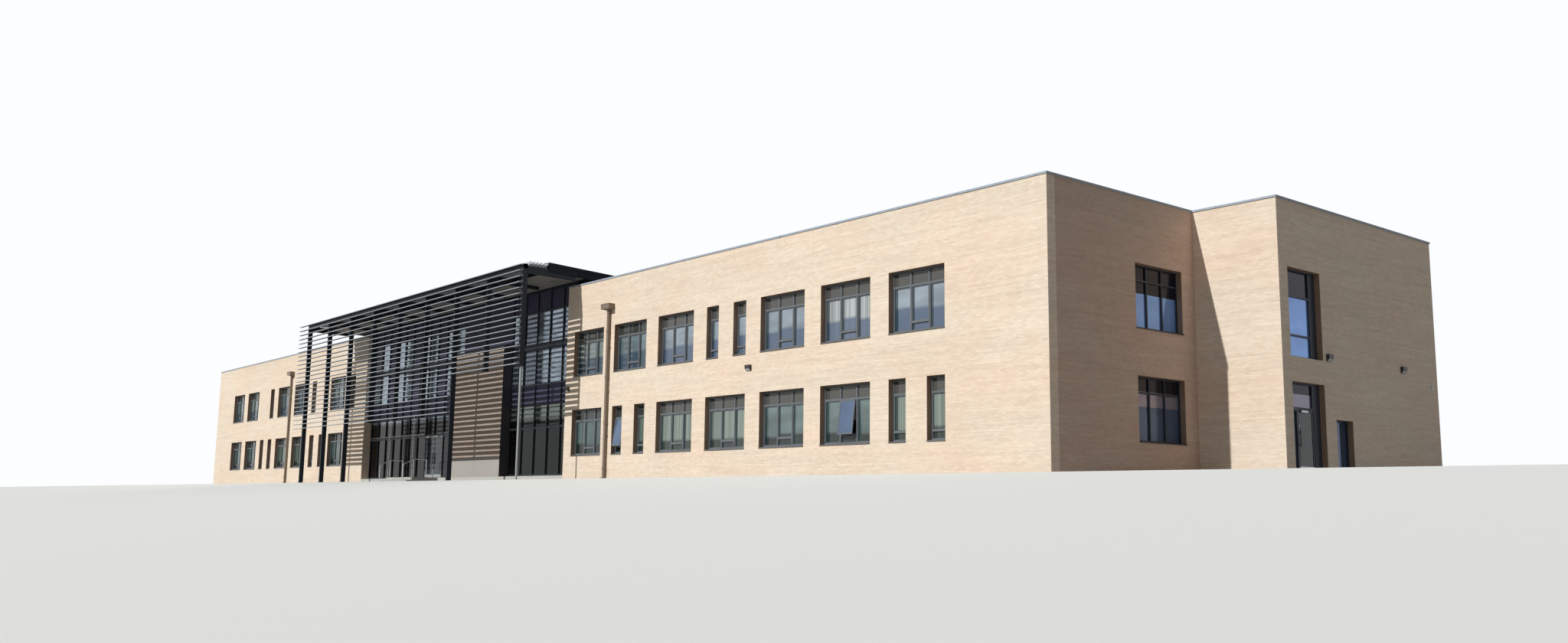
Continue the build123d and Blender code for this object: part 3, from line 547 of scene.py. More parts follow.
# Materials
def use_group(tree, name, **inputs):
    """Place a shared group in a material; gives its outputs by name."""
    node = new_node(tree, "Group", inputs, node_tree=bpy.data.node_groups[name])
    return {socket.name: Signal(tree, socket) for socket in node.outputs}


def new_material(name, roughness, metallic=0.0, specular=0.5):
    """Material with a Principled BSDF; gives the material, its tree and the shader's inputs."""
    material = bpy.data.materials.new(name)
    material.use_nodes = True
    inputs = material.node_tree.nodes["Principled BSDF"].inputs
    feed(roughness, inputs["Roughness"])
    feed(metallic, inputs["Metallic"])
    feed(specular, inputs["Specular IOR Level"])
    return material, material.node_tree, inputs


def add_bump(inputs, height, strength, distance):
    """Bump from a height value."""
    values = {"Strength": strength, "Distance": distance, "Height": height}
    feed(add_node(height.tree, "Bump", values, "Normal"), inputs["Normal"])


def brick_material(name="buff_brick", tone=(1.0, 1.0, 1.0)):
    """Matt brick with weathering under the coping and over the ground, times a tone that paints shade where
    one is given.
    """
    sizes, colours = bpy.context.scene.school_sizes, bpy.context.scene.school_colours
    material, tree, inputs = new_material(name, 0.88)
    pale, deep, mortar = ([part * share for part, share in zip(colour, tone)]
                          for colour in (colours.brick_pale, colours.brick_deep, colours.mortar))
    bond = use_group(tree, "brick_bond", Pale=pale, Deep=deep, Mortar=mortar, Length=sizes.brick_length,
                     Course=sizes.brick_course, Joint=sizes.mortar_joint)
    weather = use_group(tree, "weathering", Colour=bond["Colour"], Dirt=(0.50, 0.38, 0.29), Amount=0.14,
                        Top=brick_top, Reach=0.09)
    feed(weather["Colour"], inputs["Base Color"])
    add_bump(inputs, bond["Height"], 0.5, 0.0006)
    return material


def plain_material(name, colour, roughness, metallic=0.0, grain=200.0, mottle=0.1, bump=0.15,
                   dirt=(0.2, 0.19, 0.17), dirt_amount=0.0, top=1.0, reach=0.1, coat=0.0, specular=0.5):
    """Painted, cast or rolled surface: grain, mottling and a little dirt."""
    material, tree, inputs = new_material(name, roughness, metallic, specular)
    feed(coat, inputs["Coat Weight"])
    fine = use_group(tree, "fine_grain", Colour=colour, Scale=grain, Mottle=mottle)
    surface = fine["Colour"]
    if dirt_amount:
        surface = use_group(tree, "weathering", Colour=surface, Dirt=dirt, Amount=dirt_amount, Top=top,
                            Reach=reach)["Colour"]
    feed(surface, inputs["Base Color"])
    feed(spread(fine["Height"], 0.2, 0.8, roughness - 0.06, roughness + 0.08), inputs["Roughness"])
    add_bump(inputs, fine["Height"], bump, 0.0003)
    return material


def glass_material(name, colour, transmission, roughness=0.03, smear=0.04, specular=0.5):
    """Door or sash glass: faint dust over a tinted pane."""
    material, tree, inputs = new_material(name, roughness, specular=specular)
    feed(transmission, inputs["Transmission Weight"])
    feed(1.52, inputs["IOR"])
    fine = use_group(tree, "fine_grain", Colour=colour, Scale=12.0, Mottle=0.25)
    feed(fine["Colour"], inputs["Base Color"])
    feed(spread(fine["Height"], 0.3, 0.7, roughness, roughness + smear), inputs["Roughness"])
    return material


def pane_material(name, group, transmission, metallic=0.0, roughness=0.04, specular=0.5, **colours):
    """Window glass tinted by one of the tint groups, with a faint ripple."""
    material, tree, inputs = new_material(name, roughness, metallic, specular)
    feed(transmission, inputs["Transmission Weight"])
    feed(1.5, inputs["IOR"])
    feed(use_group(tree, group, **colours)["Colour"], inputs["Base Color"])
    ripple = noise(place_and_facing(tree)[0], 9.0, 2.0)
    feed(spread(ripple, 0.3, 0.7, roughness, roughness + 0.05), inputs["Roughness"])
    add_bump(inputs, ripple, 0.05, 0.002)
    return material


def satin_paint(name, colour, roughness, specular):
    """Satin paint of frames, made once."""
    found = bpy.data.materials.get(name)
    return found or plain_material(name, colour, roughness, grain=400.0, mottle=0.2, specular=specular)


def frame_paint():
    """Paint of the window frames and the entrance leaves, lightened for a painted sheen."""
    return satin_paint("frame_paint", tuple(bpy.context.scene.school_colours.dark_frame), 0.5, 0.2)


def shaded_end_frame_paint():
    """Darker paint of the end windows and the end doorway: painted shade."""
    return satin_paint("shaded_end_frame_paint", (0.022, 0.027, 0.042), 0.45, 0.3)


def dress(material, *nodes):
    """Give CAD nodes a material."""
    for name in nodes:
        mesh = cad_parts[name].data
        mesh.materials.clear()
        mesh.materials.append(material)


# Window grid, seen from outside
def cell_windows(kind, right_edge, sill_z):
    """Windows of one cell whose wide window would start at right_edge and run to the left."""
    left = right_edge - WIDE
    head = sill_z + HEAD - SILL
    found = []
    if kind == "W":
        found.append((left, right_edge, sill_z, head))
    if kind in "PL":
        found.append((left, left + NARROW, sill_z, head))
    if kind in "PR":
        found.append((right_edge - NARROW, right_edge, sill_z, head))
    return found


def front_windows():
    """Every window of the front: left, right, sill and head."""
    return [window
            for rows, start in ((RIGHT_ROWS, corner_x - RIGHT_FIRST), (LEFT_ROWS, hall_left - LEFT_FIRST))
            for row, base in zip(rows, (floor_z, upper_z))
            for index, kind in enumerate(row)
            for window in cell_windows(kind, start - BAY * index + WIDE, base + SILL)]


def rear_windows():
    """Every window of the rear."""
    return [window for base in (floor_z, upper_z) for index in range(REAR_COUNT)
            for window in cell_windows("W", corner_x - RIGHT_FIRST - BAY * index + WIDE, base + SILL)]


def lights_of(left, right):
    """Lights side by side in one window, as left and right edges."""
    count = 3 if right - left > 2 * NARROW else 1
    width = (right - left - BAR * (count + 1)) / count
    starts = [left + BAR + index * (width + BAR) for index in range(count)]
    return [(start, start + width) for start in starts]


def rim(left, right, bottom, top, width, near, far):
    """Four boxes round a pane of a wall that faces along Y."""
    return [(left, left + width, near, far, bottom, top), (right - width, right, near, far, bottom, top),
            (left + width, right - width, near, far, bottom, bottom + width),
            (left + width, right - width, near, far, top - width, top)]


# Operators
class SCHOOL_OT_brickwork(bpy.types.Operator):
    """Lay the brick bond on the walls and add the movement joints and weep vents"""
    bl_idname = "school.brickwork"
    bl_label = "Brickwork"

    def execute(self, context):
        dress(brick_material(), "front_wall_left", "front_wall_right", "end_block_front_wall", "end_wall",
              "end_wall_door_bay", "rear_wall", "left_end_wall")
        # Painted shade: the return wall's brick and the entrance panel's brick are toned darker
        dress(brick_material("return_brick_painted_shade", (0.75, 0.675, 0.67)), "return_wall")
        dress(brick_material("shaded_brick", (0.48, 0.46, 0.48)), "entrance_brick_panel")
        self.add_movement_joints()
        self.add_weep_vents()
        return {"FINISHED"}

    def add_movement_joints(self):
        """Sealed joints between the windows, from the ground to the coping."""
        half_joint, half_pier, proud, sunk = 0.0008, (BAY - WIDE) / 2, 0.0003, 0.001
        right_start, left_start = corner_x - RIGHT_FIRST - half_pier, hall_left - LEFT_FIRST - half_pier
        front, rear = (front_y - proud, front_y + sunk), (rear_y - sunk, rear_y + proud)
        joints = [(*around(start - BAY * index, half_joint), *front, 0.0, brick_top)
                  for start in (right_start, left_start) for index in (1, 4)]
        joints += [(*around(right_start - BAY * index, half_joint), *rear, 0.0, brick_top)
                   for index in range(1, 20, 3)]
        sealant = plain_material("joint_sealant", (0.76, 0.62, 0.50), 0.7)
        boxes_piece("movement_joints", joints, sealant)

    def add_weep_vents(self):
        """Small upright vents in the course over each window of the front."""
        spacing, half_vent, least, proud, sunk = 0.09, 0.0006, 2, 0.0002, 0.001
        vents = []
        for left, right, _, head in front_windows():
            count = max(least, int((right - left) / spacing) + 1)
            for index in range(count):
                x = left + (right - left) * (index + 0.5) / count
                vents.append((*around(x, half_vent), front_y - proud, front_y + sunk,
                              head + 0.001, head + 0.0075))
        plastic = plain_material("weep_plastic", (0.50, 0.41, 0.33), 0.6)
        boxes_piece("weep_vents", vents, plastic)


class SCHOOL_OT_floors_and_roofs(bpy.types.Operator):
    """Finish the slabs, the roof decks and the hall roof, with the seams of the roof sheets"""
    bl_idname = "school.floors_and_roofs"
    bl_label = "Floors and roofs"

    def execute(self, context):
        sizes = context.scene.school_sizes
        dress(plain_material("smooth_concrete", (0.50, 0.49, 0.46), 0.8, grain=60.0, mottle=0.12, bump=0.3),
              "ground_floor_slab", "first_floor_slab")
        self.finish_decks(sizes.seam_spacing)
        self.finish_hall_roof(sizes.seam_spacing)
        self.line_soffit(sizes.board_width)
        return {"FINISHED"}

    def finish_decks(self, spacing):
        """Membrane of the two wings' roofs, with its seams."""
        membrane = plain_material("roof_membrane", (0.27, 0.28, 0.29), 0.75, grain=160.0, mottle=0.16,
                                  bump=0.25)
        dress(membrane, "roof_decks")
        half_seam, seam_height = 0.0012, 0.0012
        deck_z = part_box("roof_decks")[1].z
        wings = ((left_x + WALL, hall_left - WALL), (hall_right + WALL, corner_x - WALL))
        seams = [(*around(x, half_seam), front_y + WALL, rear_y - WALL, deck_z - SUNK, deck_z + seam_height)
                 for start, stop in wings for x in between(start, stop, int((stop - start) / spacing))]
        boxes_piece("membrane_seams", seams, membrane)

    def finish_hall_roof(self, spacing):
        """Sheet of the hall roof, with its ribs and the trim of its edges."""
        sheet = plain_material("roof_sheet", (0.012, 0.018, 0.025), 0.6, grain=90.0, mottle=0.14,
                               dirt=(0.09, 0.085, 0.08), dirt_amount=0.08, top=roof_top, reach=0.04,
                               specular=0.12)
        dress(sheet, "hall_roof", "hall_side_walls")
        low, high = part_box("hall_roof")
        left, right, near, far = low.x, high.x, low.y, high.y
        half_rib, rib_height, side_gap, end_gap = 0.0012, 0.0025, 0.002, 0.003
        count = int((right - left) / spacing)
        ribs = [(*around(left + side_gap + (right - left - 2 * side_gap) * index / count, half_rib),
                 near + end_gap, far - end_gap, roof_top - SUNK, roof_top + rib_height)
                for index in range(count + 1)]
        boxes_piece("roof_sheet_ribs", ribs, sheet, fall=ROOF_FALL)
        proud, lap = 0.002, 0.001
        sides = ((left - proud, right + proud, near - proud, near + lap),
                 (left - proud, left + lap, near + lap, far),
                 (right - lap, right + proud, near + lap, far))
        bands = ((-0.012, 0.001), (-0.043, -0.039))
        edge = [(*side, roof_top + bottom, roof_top + top) for side in sides for bottom, top in bands]
        boxes_piece("roof_edge_trim", edge, sheet, bevel=0.0004, fall=ROOF_FALL)

    def line_soffit(self, width):
        """Boards under the canopy and the lamps in them."""
        low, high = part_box("hall_roof")
        gap, joint, thickness = 0.004, 0.0015, 0.0016
        left, right, y = low.x + gap, high.x - gap, low.y + gap
        boards = []
        while y + width < hall_front_y - gap:
            boards.append((left, right, y, y + width - joint, SOFFIT - thickness, SOFFIT + SUNK))
            y += width
        stain = plain_material("soffit_stain", (0.30, 0.28, 0.25), 0.7, grain=30.0, mottle=0.22, bump=0.3)
        boxes_piece("soffit_boards", boards, stain, fall=ROOF_FALL)
        first_lamp, inset, radius, depth = 0.187, 0.115, 0.009, 0.006
        lamp_z = SOFFIT - 0.0065 - ROOF_FALL * inset
        lamps = [((high.x - first_lamp - POST_BAY * index, low.y + inset, lamp_z), 2, radius, depth)
                 for index in range(POST_COUNT - 1)]
        lamp_rim = plain_material("lamp_rim", (0.30, 0.31, 0.32), 0.35, 0.6, grain=300.0)
        prisms_piece("soffit_lamps", lamps, lamp_rim, sides=16)


class SCHOOL_OT_copings(bpy.types.Operator):
    """Paint the copings and add straps over their joints"""
    bl_idname = "school.copings"
    bl_label = "Copings"

    def execute(self, context):
        spacing = context.scene.school_sizes.strap_spacing
        colour = tuple(context.scene.school_colours.coping_paint)
        paint = plain_material("coping_paint", colour, 0.55, grain=120.0, mottle=0.08, specular=0.15)
        dress(paint, "copings")
        low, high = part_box("copings")
        proud, lip, oversail, half_strap = 0.0006, 0.046, 0.003, 0.003
        heights = (low.z - proud, high.z + proud)
        front = (front_y - oversail - proud, front_y - oversail + lip)
        rear = (rear_y + oversail - lip, rear_y + oversail + proud)
        straps = [(*around(x, half_strap), *side, *heights)
                  for start, stop, side in ((left_x, hall_left, front), (hall_right, corner_x, front),
                                            (left_x, end_x, rear))
                  for x in between(start, stop, int((stop - start) / spacing))]
        return_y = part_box("return_wall")[1].y
        straps += [(*side, *around(y, half_strap), *heights)
                   for start, stop, side in (
                       (front_y, return_y, (corner_x + oversail - lip, corner_x + oversail + proud)),
                       (return_y, rear_y, (end_x + oversail - lip, end_x + oversail + proud)),
                       (front_y, rear_y, (left_x - oversail - proud, left_x - oversail + lip)))
                   for y in between(start, stop, int((stop - start) / spacing))]
        boxes_piece("coping_straps", straps, paint)
        return {"FINISHED"}


class SCHOOL_OT_window_bars(bpy.types.Operator):
    """Paint the window frames and add low bars, beads round the panes and the rear windows' bars"""
    bl_idname = "school.window_bars"
    bl_label = "Window bars"

    def execute(self, context):
        paint = frame_paint()
        dress(paint, "window_frames_front", "window_frames_rear", "window_sash_open")
        dress(shaded_end_frame_paint(), "window_frames_ends")
        self.add_front_bars(paint, context.scene.school_sizes.bead_width)
        self.add_reveal_linings()
        self.add_rear_bars(paint)
        return {"FINISHED"}

    def add_front_bars(self, paint, bead):
        """Low bar of the middle light and the beads round every pane of the front."""
        half, bar_depth, slim_depth, full_depth = BAR / 2, 0.005, 0.0022, 0.0028
        glass = front_y + GLASS_INSET
        bars, beads = [], []
        for left, right, sill, head in front_windows():
            lights = lights_of(left, right)
            transom, bar = head - TRANSOM_DROP, sill + LOW_BAR
            for index, (start, end) in enumerate(lights):
                beads += rim(start, end, transom + half, head - BAR, bead / 2, glass - slim_depth, glass)
                low = sill + SILL_BOARD + BAR
                if index == len(lights) // 2:
                    bars.append((start, end, glass - bar_depth, glass, *around(bar, half)))
                    beads += rim(start, end, low, bar - half, bead / 2, glass - slim_depth, glass)
                    low = bar + half
                beads += rim(start, end, low, transom - half, bead, glass - full_depth, glass)
        boxes_piece("window_low_bars", bars, paint)
        boxes_piece("window_beads", beads, paint)

    def add_reveal_linings(self):
        """Thin sheets on the sides and under the heads of the openings."""
        sheet, lip = 0.0008, 0.0004
        near, far = front_y + lip, front_y + SETBACK
        linings = []
        for left, right, sill, head in front_windows():
            linings += [(left, left + sheet, near, far, sill + SILL_BOARD, head),
                        (right - sheet, right, near, far, sill + SILL_BOARD, head),
                        (left + sheet, right - sheet, near, far, head - sheet, head)]
        for face, openings in ((end_x, END_OPENINGS), (corner_x, RETURN_OPENINGS)):
            near, far = face - SETBACK, face - lip
            for start, stop, bottom, top in openings:
                linings += [(near, far, start, start + sheet, bottom + SILL_BOARD, top),
                            (near, far, stop - sheet, stop, bottom + SILL_BOARD, top),
                            (near, far, start + sheet, stop - sheet, top - sheet, top)]
        lining = plain_material("reveal_lining", (0.33, 0.22, 0.155), 0.5, grain=220.0, mottle=0.14,
                                specular=0.3)
        boxes_piece("reveal_linings", linings, lining)

    def add_rear_bars(self, paint):
        """Mullions, transoms, low bars and sills of the rear windows."""
        half, near, far, sill_reach = BAR / 2, rear_y - GLASS_INSET, rear_y - SETBACK, 0.004
        bars, sills = [], []
        for left, right, sill, head in rear_windows():
            lights = lights_of(left, right)
            bars += [(end, end + BAR, near, far, sill + BAR, head - BAR) for _, end in lights[:-1]]
            bars += [(*light, near, far, *around(head - TRANSOM_DROP, half)) for light in lights]
            bars.append((*lights[1], near, far, *around(sill + LOW_BAR, half)))
            sills.append((left, right, rear_y - SETBACK, rear_y + sill_reach, sill, sill + SILL_BOARD))
        boxes_piece("rear_window_bars", bars, paint)
        boxes_piece("rear_window_sills", sills, paint)


class SCHOOL_OT_glazing(bpy.types.Operator):
    """Glaze the windows and give the blinds behind them their cloth"""
    bl_idname = "school.glazing"
    bl_label = "Glazing and blinds"

    def execute(self, context):
        colours = context.scene.school_colours
        # The sky colours of the panes are painted sky reflections
        dress(pane_material("front_glass", "pane_tint", 0.2, specular=0.4, Sky=tuple(colours.sky_reflection_tint),
                            Top=tuple(colours.top_tint)), "window_glass_front")
        dress(glass_material("sash_glass", (0.10, 0.16, 0.28), 0.2, smear=0.1), "window_sash_glass")
        dress(pane_material("rear_glass", "pane_tint", 0.35, Sky=(0.20, 0.26, 0.31)), "window_glass_rear")
        dress(pane_material("end_glass", "end_tint", 0.12, metallic=0.35, specular=0.15),
              "window_glass_ends")
        dress(pane_material("hall_glazing", "bay_tint", 0.08, metallic=0.7, roughness=0.03, specular=0.06),
              "hall_glass")
        dress(glass_material("leaf_glass", (0.04, 0.045, 0.05), 0.5, specular=0.2),
              "entrance_leaf_left_glass", "entrance_leaf_right_glass", "end_door_leaf_glass")
        dress(plain_material("blind_cloth", tuple(colours.blind_cloth), 0.9, grain=700.0, mottle=0.18,
                             bump=0.4), "window_blinds")
        return {"FINISHED"}


class SCHOOL_OT_entrance_hall(bpy.types.Operator):
    """Paint the hall frame and its panels, add the cover caps, and finish the plinth"""
    bl_idname = "school.entrance_hall"
    bl_label = "Entrance hall"

    def execute(self, context):
        depth = context.scene.school_sizes.cap_depth
        paint = plain_material("hall_frame_paint", (0.026, 0.031, 0.042), 0.5, grain=300.0, mottle=0.15,
                               specular=0.2)
        dress(paint, "hall_frame_upper", "hall_frame_right", "hall_frame_low")
        dress(plain_material("spandrel_paint", (0.07, 0.068, 0.115), 0.55, grain=80.0, mottle=0.15,
                             specular=0.1), "hall_panels")
        dress(plain_material("pale_render", (0.40, 0.37, 0.345), 0.85, grain=120.0, mottle=0.1, bump=0.35,
                             dirt=(0.32, 0.29, 0.25), dirt_amount=0.5, top=floor_z + 0.1, reach=0.04),
              "entrance_plinth")
        leaf_left, leaf_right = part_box("entrance_leaf_left"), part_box("entrance_leaf_right")
        side_gap = 0.004
        self.add_caps(paint, depth, leaf_left[0].x - side_gap, leaf_right[1].x + side_gap,
                      leaf_left[1].z + side_gap)
        self.trim_brick_panel(paint)
        return {"FINISHED"}

    def add_caps(self, paint, depth, door_left, door_right, door_top):
        """Dark cover caps on every post and rail of the hall, and the pale ones of the ground storey."""
        face, front, half_cap, bevel = hall_front_y, hall_front_y - depth, 0.002, 0.0003
        door_margin, rail_depth, top = 0.01, depth * 0.7, hall_eaves - 0.002
        caps = []
        for left, right, bays in ((hall_left, panel_left, HALL_BAYS),
                                  (panel_right, hall_right, HALL_BAYS_RIGHT)):
            for x in (left, *between(left, right, bays), right):
                over_door = door_left - door_margin < x < door_right + door_margin
                caps.append((*around(x, half_cap), front, face, door_top if over_door else floor_z, top))
            for height in RAIL_HEIGHTS:
                caps.append((left, right, face - rail_depth, face, *around(floor_z + height, half_cap)))
        boxes_piece("hall_cover_caps", caps, paint, bevel=bevel)
        back, post_offset, half_post, post_top = front + 0.0004, 0.0465, 0.0028, 0.405
        rail, beside_door = (0.2835, 0.2875), 0.012
        pale = [(*around(hall_left + HALL_BAY * bay - post_offset, half_post), front - 0.0012, back,
                 floor_z, post_top) for bay in (3, 6)]
        pale += [(x0, x1, front - 0.001, back, *rail)
                 for x0, x1 in ((hall_left, door_left - beside_door), (door_right + beside_door, panel_left))]
        silver = plain_material("silver_cap", (0.42, 0.42, 0.42), 0.4, 0.3, grain=300.0, mottle=0.08)
        boxes_piece("pale_caps", pale, silver, bevel=bevel)

    def trim_brick_panel(self, paint):
        """Lining between the brick panel and the glass, a dark sheet on the panel's shaded return face that
        is partly painted shade, and the capping on top of the panel.
        """
        panel_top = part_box("entrance_brick_panel")[1].z
        # Near black lining of the return face: partly painted shade
        lining = plain_material("return_lining", (0.03, 0.026, 0.032), 0.5, grain=120.0, mottle=0.15)
        boxes_piece("panel_return_lining", [(panel_right - SUNK, panel_right + 0.0014, front_y + 0.001,
                                             hall_front_y, floor_z, panel_top)], lining)
        side, front, half_capping = 0.001, 0.0015, 0.0015
        boxes_piece("panel_capping", [(panel_left - side, panel_right + side, front_y - front, front_y + 0.05,
                                       *around(panel_top, half_capping))],
                    paint, bevel=0.0003)


class SCHOOL_OT_louvre_screen(bpy.types.Operator):
    """Paint the louvre screen and its posts, and add the cleat that holds each blade to each post"""
    bl_idname = "school.louvre_screen"
    bl_label = "Louvre screen"

    def execute(self, context):
        colours = context.scene.school_colours
        blades, tree, inputs = new_material("blade_paint", 0.5)
        # Blades: painted shade on the dark faces, painted highlight on the front edge
        tint = use_group(tree, "blade_tint", Paint=colours.shaded_screen_paint, Edge=colours.lit_nose_paint)
        feed(tint["Colour"], inputs["Base Color"])
        feed(tint["Rough"], inputs["Roughness"])
        dress(blades, "screen_blades_upper", "screen_blades_lower", "canopy_louvres")
        posts = plain_material("post_paint", (0.018, 0.023, 0.032), 0.5, grain=200.0, mottle=0.12,
                               specular=0.2)
        dress(posts, "screen_posts", "canopy_arms")
        dress(plain_material("pale_paint", (0.36, 0.37, 0.38), 0.45, 0.2), "corner_post")
        # Pale nosing: a painted highlight
        nosing = plain_material("lit_nosing_paint", tuple(colours.lit_nose_paint), 0.45, 0.2, grain=60.0,
                                mottle=0.14)
        upper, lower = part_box("screen_blades_upper"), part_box("screen_blades_lower")
        nose_drop, half_post = 0.00425, 0.007
        rows = [upper[1].z - nose_drop - BLADE_PITCH * row for row in range(ALL_ROWS)]
        low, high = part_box("screen_posts")
        post_xs = [high.x - half_post - POST_BAY * index for index in range(POST_COUNT)]
        self.add_nosings(nosing, upper, lower, rows, context.scene.school_sizes.nose_height / 2)
        self.add_cleats(posts, upper[1].y, rows, post_xs)
        boxes_piece("screen_head_rail", [(low.x, high.x, low.y + SUNK, high.y - SUNK, high.z - 0.022,
                                          high.z + 0.0012)], posts, bevel=0.0006)
        half_plate, foot, head = 0.0085, 0.962, 0.999
        arm_plates = [(*around(x, half_plate), high.y - 0.0005, high.y + 0.004, foot, head) for x in post_xs]
        boxes_piece("arm_end_plates", arm_plates, posts, bevel=0.0004)
        return {"FINISHED"}

    def add_nosings(self, nosing, upper, lower, rows, half_nose):
        """Bevelled pale nosing along the front edge of every long and short blade: a painted highlight of the
        lit edge.
        """
        past_end, front = 0.0005, upper[0].y
        noses = []
        for row, z in enumerate(rows):
            blades = upper if row < LONG_ROWS else lower
            noses.append((upper[0].x - past_end, blades[1].x + past_end, front - 0.0016, front + 0.0008,
                          *around(z, half_nose)))
        boxes_piece("lit_blade_nosings", noses, nosing, bevel=0.0008)

    def add_cleats(self, paint, back, rows, post_xs):
        """Cleats and bolts where blades meet posts, and the base plates of the posts on the ground."""
        low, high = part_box("screen_posts")
        cleat_start, cleat_end, half_cleat, blade_rise = 0.0069, 0.0081, 0.003, 0.0015
        bolt_radius, bolt_length = 0.0015, 0.0008
        half_plate, plate_reach, plate_top = 0.016, 0.009, 0.0022
        nut_x, nut_y, nut_radius, nut_height = 0.012, 0.005, 0.0022, 0.0026
        cleats, bolts, plates = [], [], []
        for index, x in enumerate(post_xs):
            for row, blade_z in enumerate(rows if index >= STEP_POST else rows[:LONG_ROWS]):
                z = blade_z + blade_rise
                left_only = index == 0 or (index == STEP_POST and row >= LONG_ROWS)
                for side in (-1,) if left_only else (-1, 1):
                    planes = sorted((x + side * cleat_start, x + side * cleat_end))
                    cleats.append((*planes, back - 0.006, back + 0.009, *around(z, half_cleat)))
                    start = x + side * cleat_end - (0 if side > 0 else bolt_length)
                    bolts.append(((start, back + 0.005, z), 0, bolt_radius, bolt_length))
            if index in GROUND_POSTS:
                plates.append((*around(x, half_plate), low.y - plate_reach, high.y + plate_reach,
                               0.0, plate_top))
                bolts += [((bolt_x, y, plate_top - SUNK), 2, nut_radius, nut_height)
                          for bolt_x in around(x, nut_x) for y in (low.y - nut_y, high.y + nut_y)]
        boxes_piece("blade_cleats", cleats, paint)
        boxes_piece("post_base_plates", plates, paint, bevel=0.0004)
        prisms_piece("screen_bolts", bolts, paint)


class SCHOOL_OT_doors(bpy.types.Operator):
    """Paint the leaves and add the kick plates, closers and locks that ride on them"""
    bl_idname = "school.doors"
    bl_label = "Doors"

    def execute(self, context):
        dress(frame_paint(), "entrance_leaf_left", "entrance_leaf_right")
        dress(shaded_end_frame_paint(), "end_door_leaf", "end_door_frame")
        steel = plain_material("brushed_plate", (0.45, 0.46, 0.47), 0.35, 0.9, grain=300.0, mottle=0.1)
        dress(steel, "door_pivots")
        glass_half, key_z, foot_z = 0.0025, floor_z + 0.155, floor_z + 0.014
        kick_side, kick_drop, kick_rise, closer_foot, closer_top = 0.004, 0.007, 0.011, 0.0005, 0.0075
        for body in ("entrance_leaf_left", "entrance_leaf_right"):
            low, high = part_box(body + "_glass")
            leaf_low, leaf_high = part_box(body)
            outer = (low.y + high.y) / 2 - glass_half
            face = outer - 0.0013
            kick_plate = (low.x - kick_side, high.x + kick_side, outer - 0.0006, outer + 0.0001,
                          low.z - kick_drop, low.z + kick_rise)
            closer = (leaf_low.x + 0.014, leaf_high.x - 0.054, face - 0.0075, face,
                      high.z + closer_foot, high.z + closer_top)
            boxes_piece(body + "_kick_plate", [kick_plate], steel, body, bevel=0.0002)
            boxes_piece(body + "_closer", [closer], steel, body, bevel=0.0004)
            stile = leaf_high.x - 0.0045 if body.endswith("left") else leaf_low.x + 0.0045
            prisms_piece(body + "_locks", [((stile, face, key_z), 1, 0.0022, -0.0018),
                                           ((stile, face, foot_z), 1, 0.0018, -0.0014)],
                         steel, body, sides=12)
        low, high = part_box("end_door_leaf_glass")
        outer = (low.x + high.x) / 2 + glass_half
        face = outer + 0.0012
        kick_plate = (outer - 0.0001, outer + 0.0006, low.y - kick_side, high.y + kick_side,
                      low.z - kick_drop, low.z + kick_rise)
        closer = (face, face + 0.0045, low.y + 0.01, high.y - 0.032,
                  high.z + closer_foot, high.z + closer_top)
        body = "end_door_leaf"
        boxes_piece("end_door_kick_plate", [kick_plate], steel, body, bevel=0.0002)
        boxes_piece("end_door_closer", [closer], steel, body, bevel=0.0004)
        prisms_piece("end_door_locks", [((face, low.y - 0.0045, key_z), 0, 0.0022, 0.0014)], steel,
                     body, sides=12)
        return {"FINISHED"}


class SCHOOL_OT_steps_and_rails(bpy.types.Operator):
    """Finish the entrance steps and the handrails, with nosings and base flanges"""
    bl_idname = "school.steps_and_rails"
    bl_label = "Steps and rails"

    def execute(self, context):
        dress(plain_material("step_concrete", (0.46, 0.45, 0.43), 0.85, grain=90.0, mottle=0.14, bump=0.4),
              "entrance_steps")
        steel = plain_material("rail_steel", (0.52, 0.53, 0.54), 0.3, 0.95, grain=350.0, mottle=0.08)
        dress(steel, "entrance_handrails")
        low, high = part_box("entrance_steps")
        rubber = plain_material("nosing_rubber", (0.03, 0.03, 0.03), 0.8, grain=500.0, mottle=0.2)
        side_gap, going = 0.004, 0.03
        nosings = [(low.x + side_gap, high.x - side_gap, edge + 0.001, edge + 0.006,
                    tread - 0.0001, tread + 0.0006)
                   for edge, tread in ((low.y, high.z / 2), (low.y + going, high.z))]
        boxes_piece("step_nosings", nosings, rubber)
        rail_low, rail_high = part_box("entrance_handrails")
        radius, half_flange = 0.0021, 0.005
        feet = ((front_y - 0.06, high.z), (front_y - 0.135, high.z), (front_y - 0.195, 0.0))
        flanges = [(*around(x, half_flange), *around(y, half_flange), z, z + 0.0012)
                   for x in (rail_low.x + radius, rail_high.x - radius) for y, z in feet]
        boxes_piece("rail_flanges", flanges, steel, bevel=0.0003)
        return {"FINISHED"}


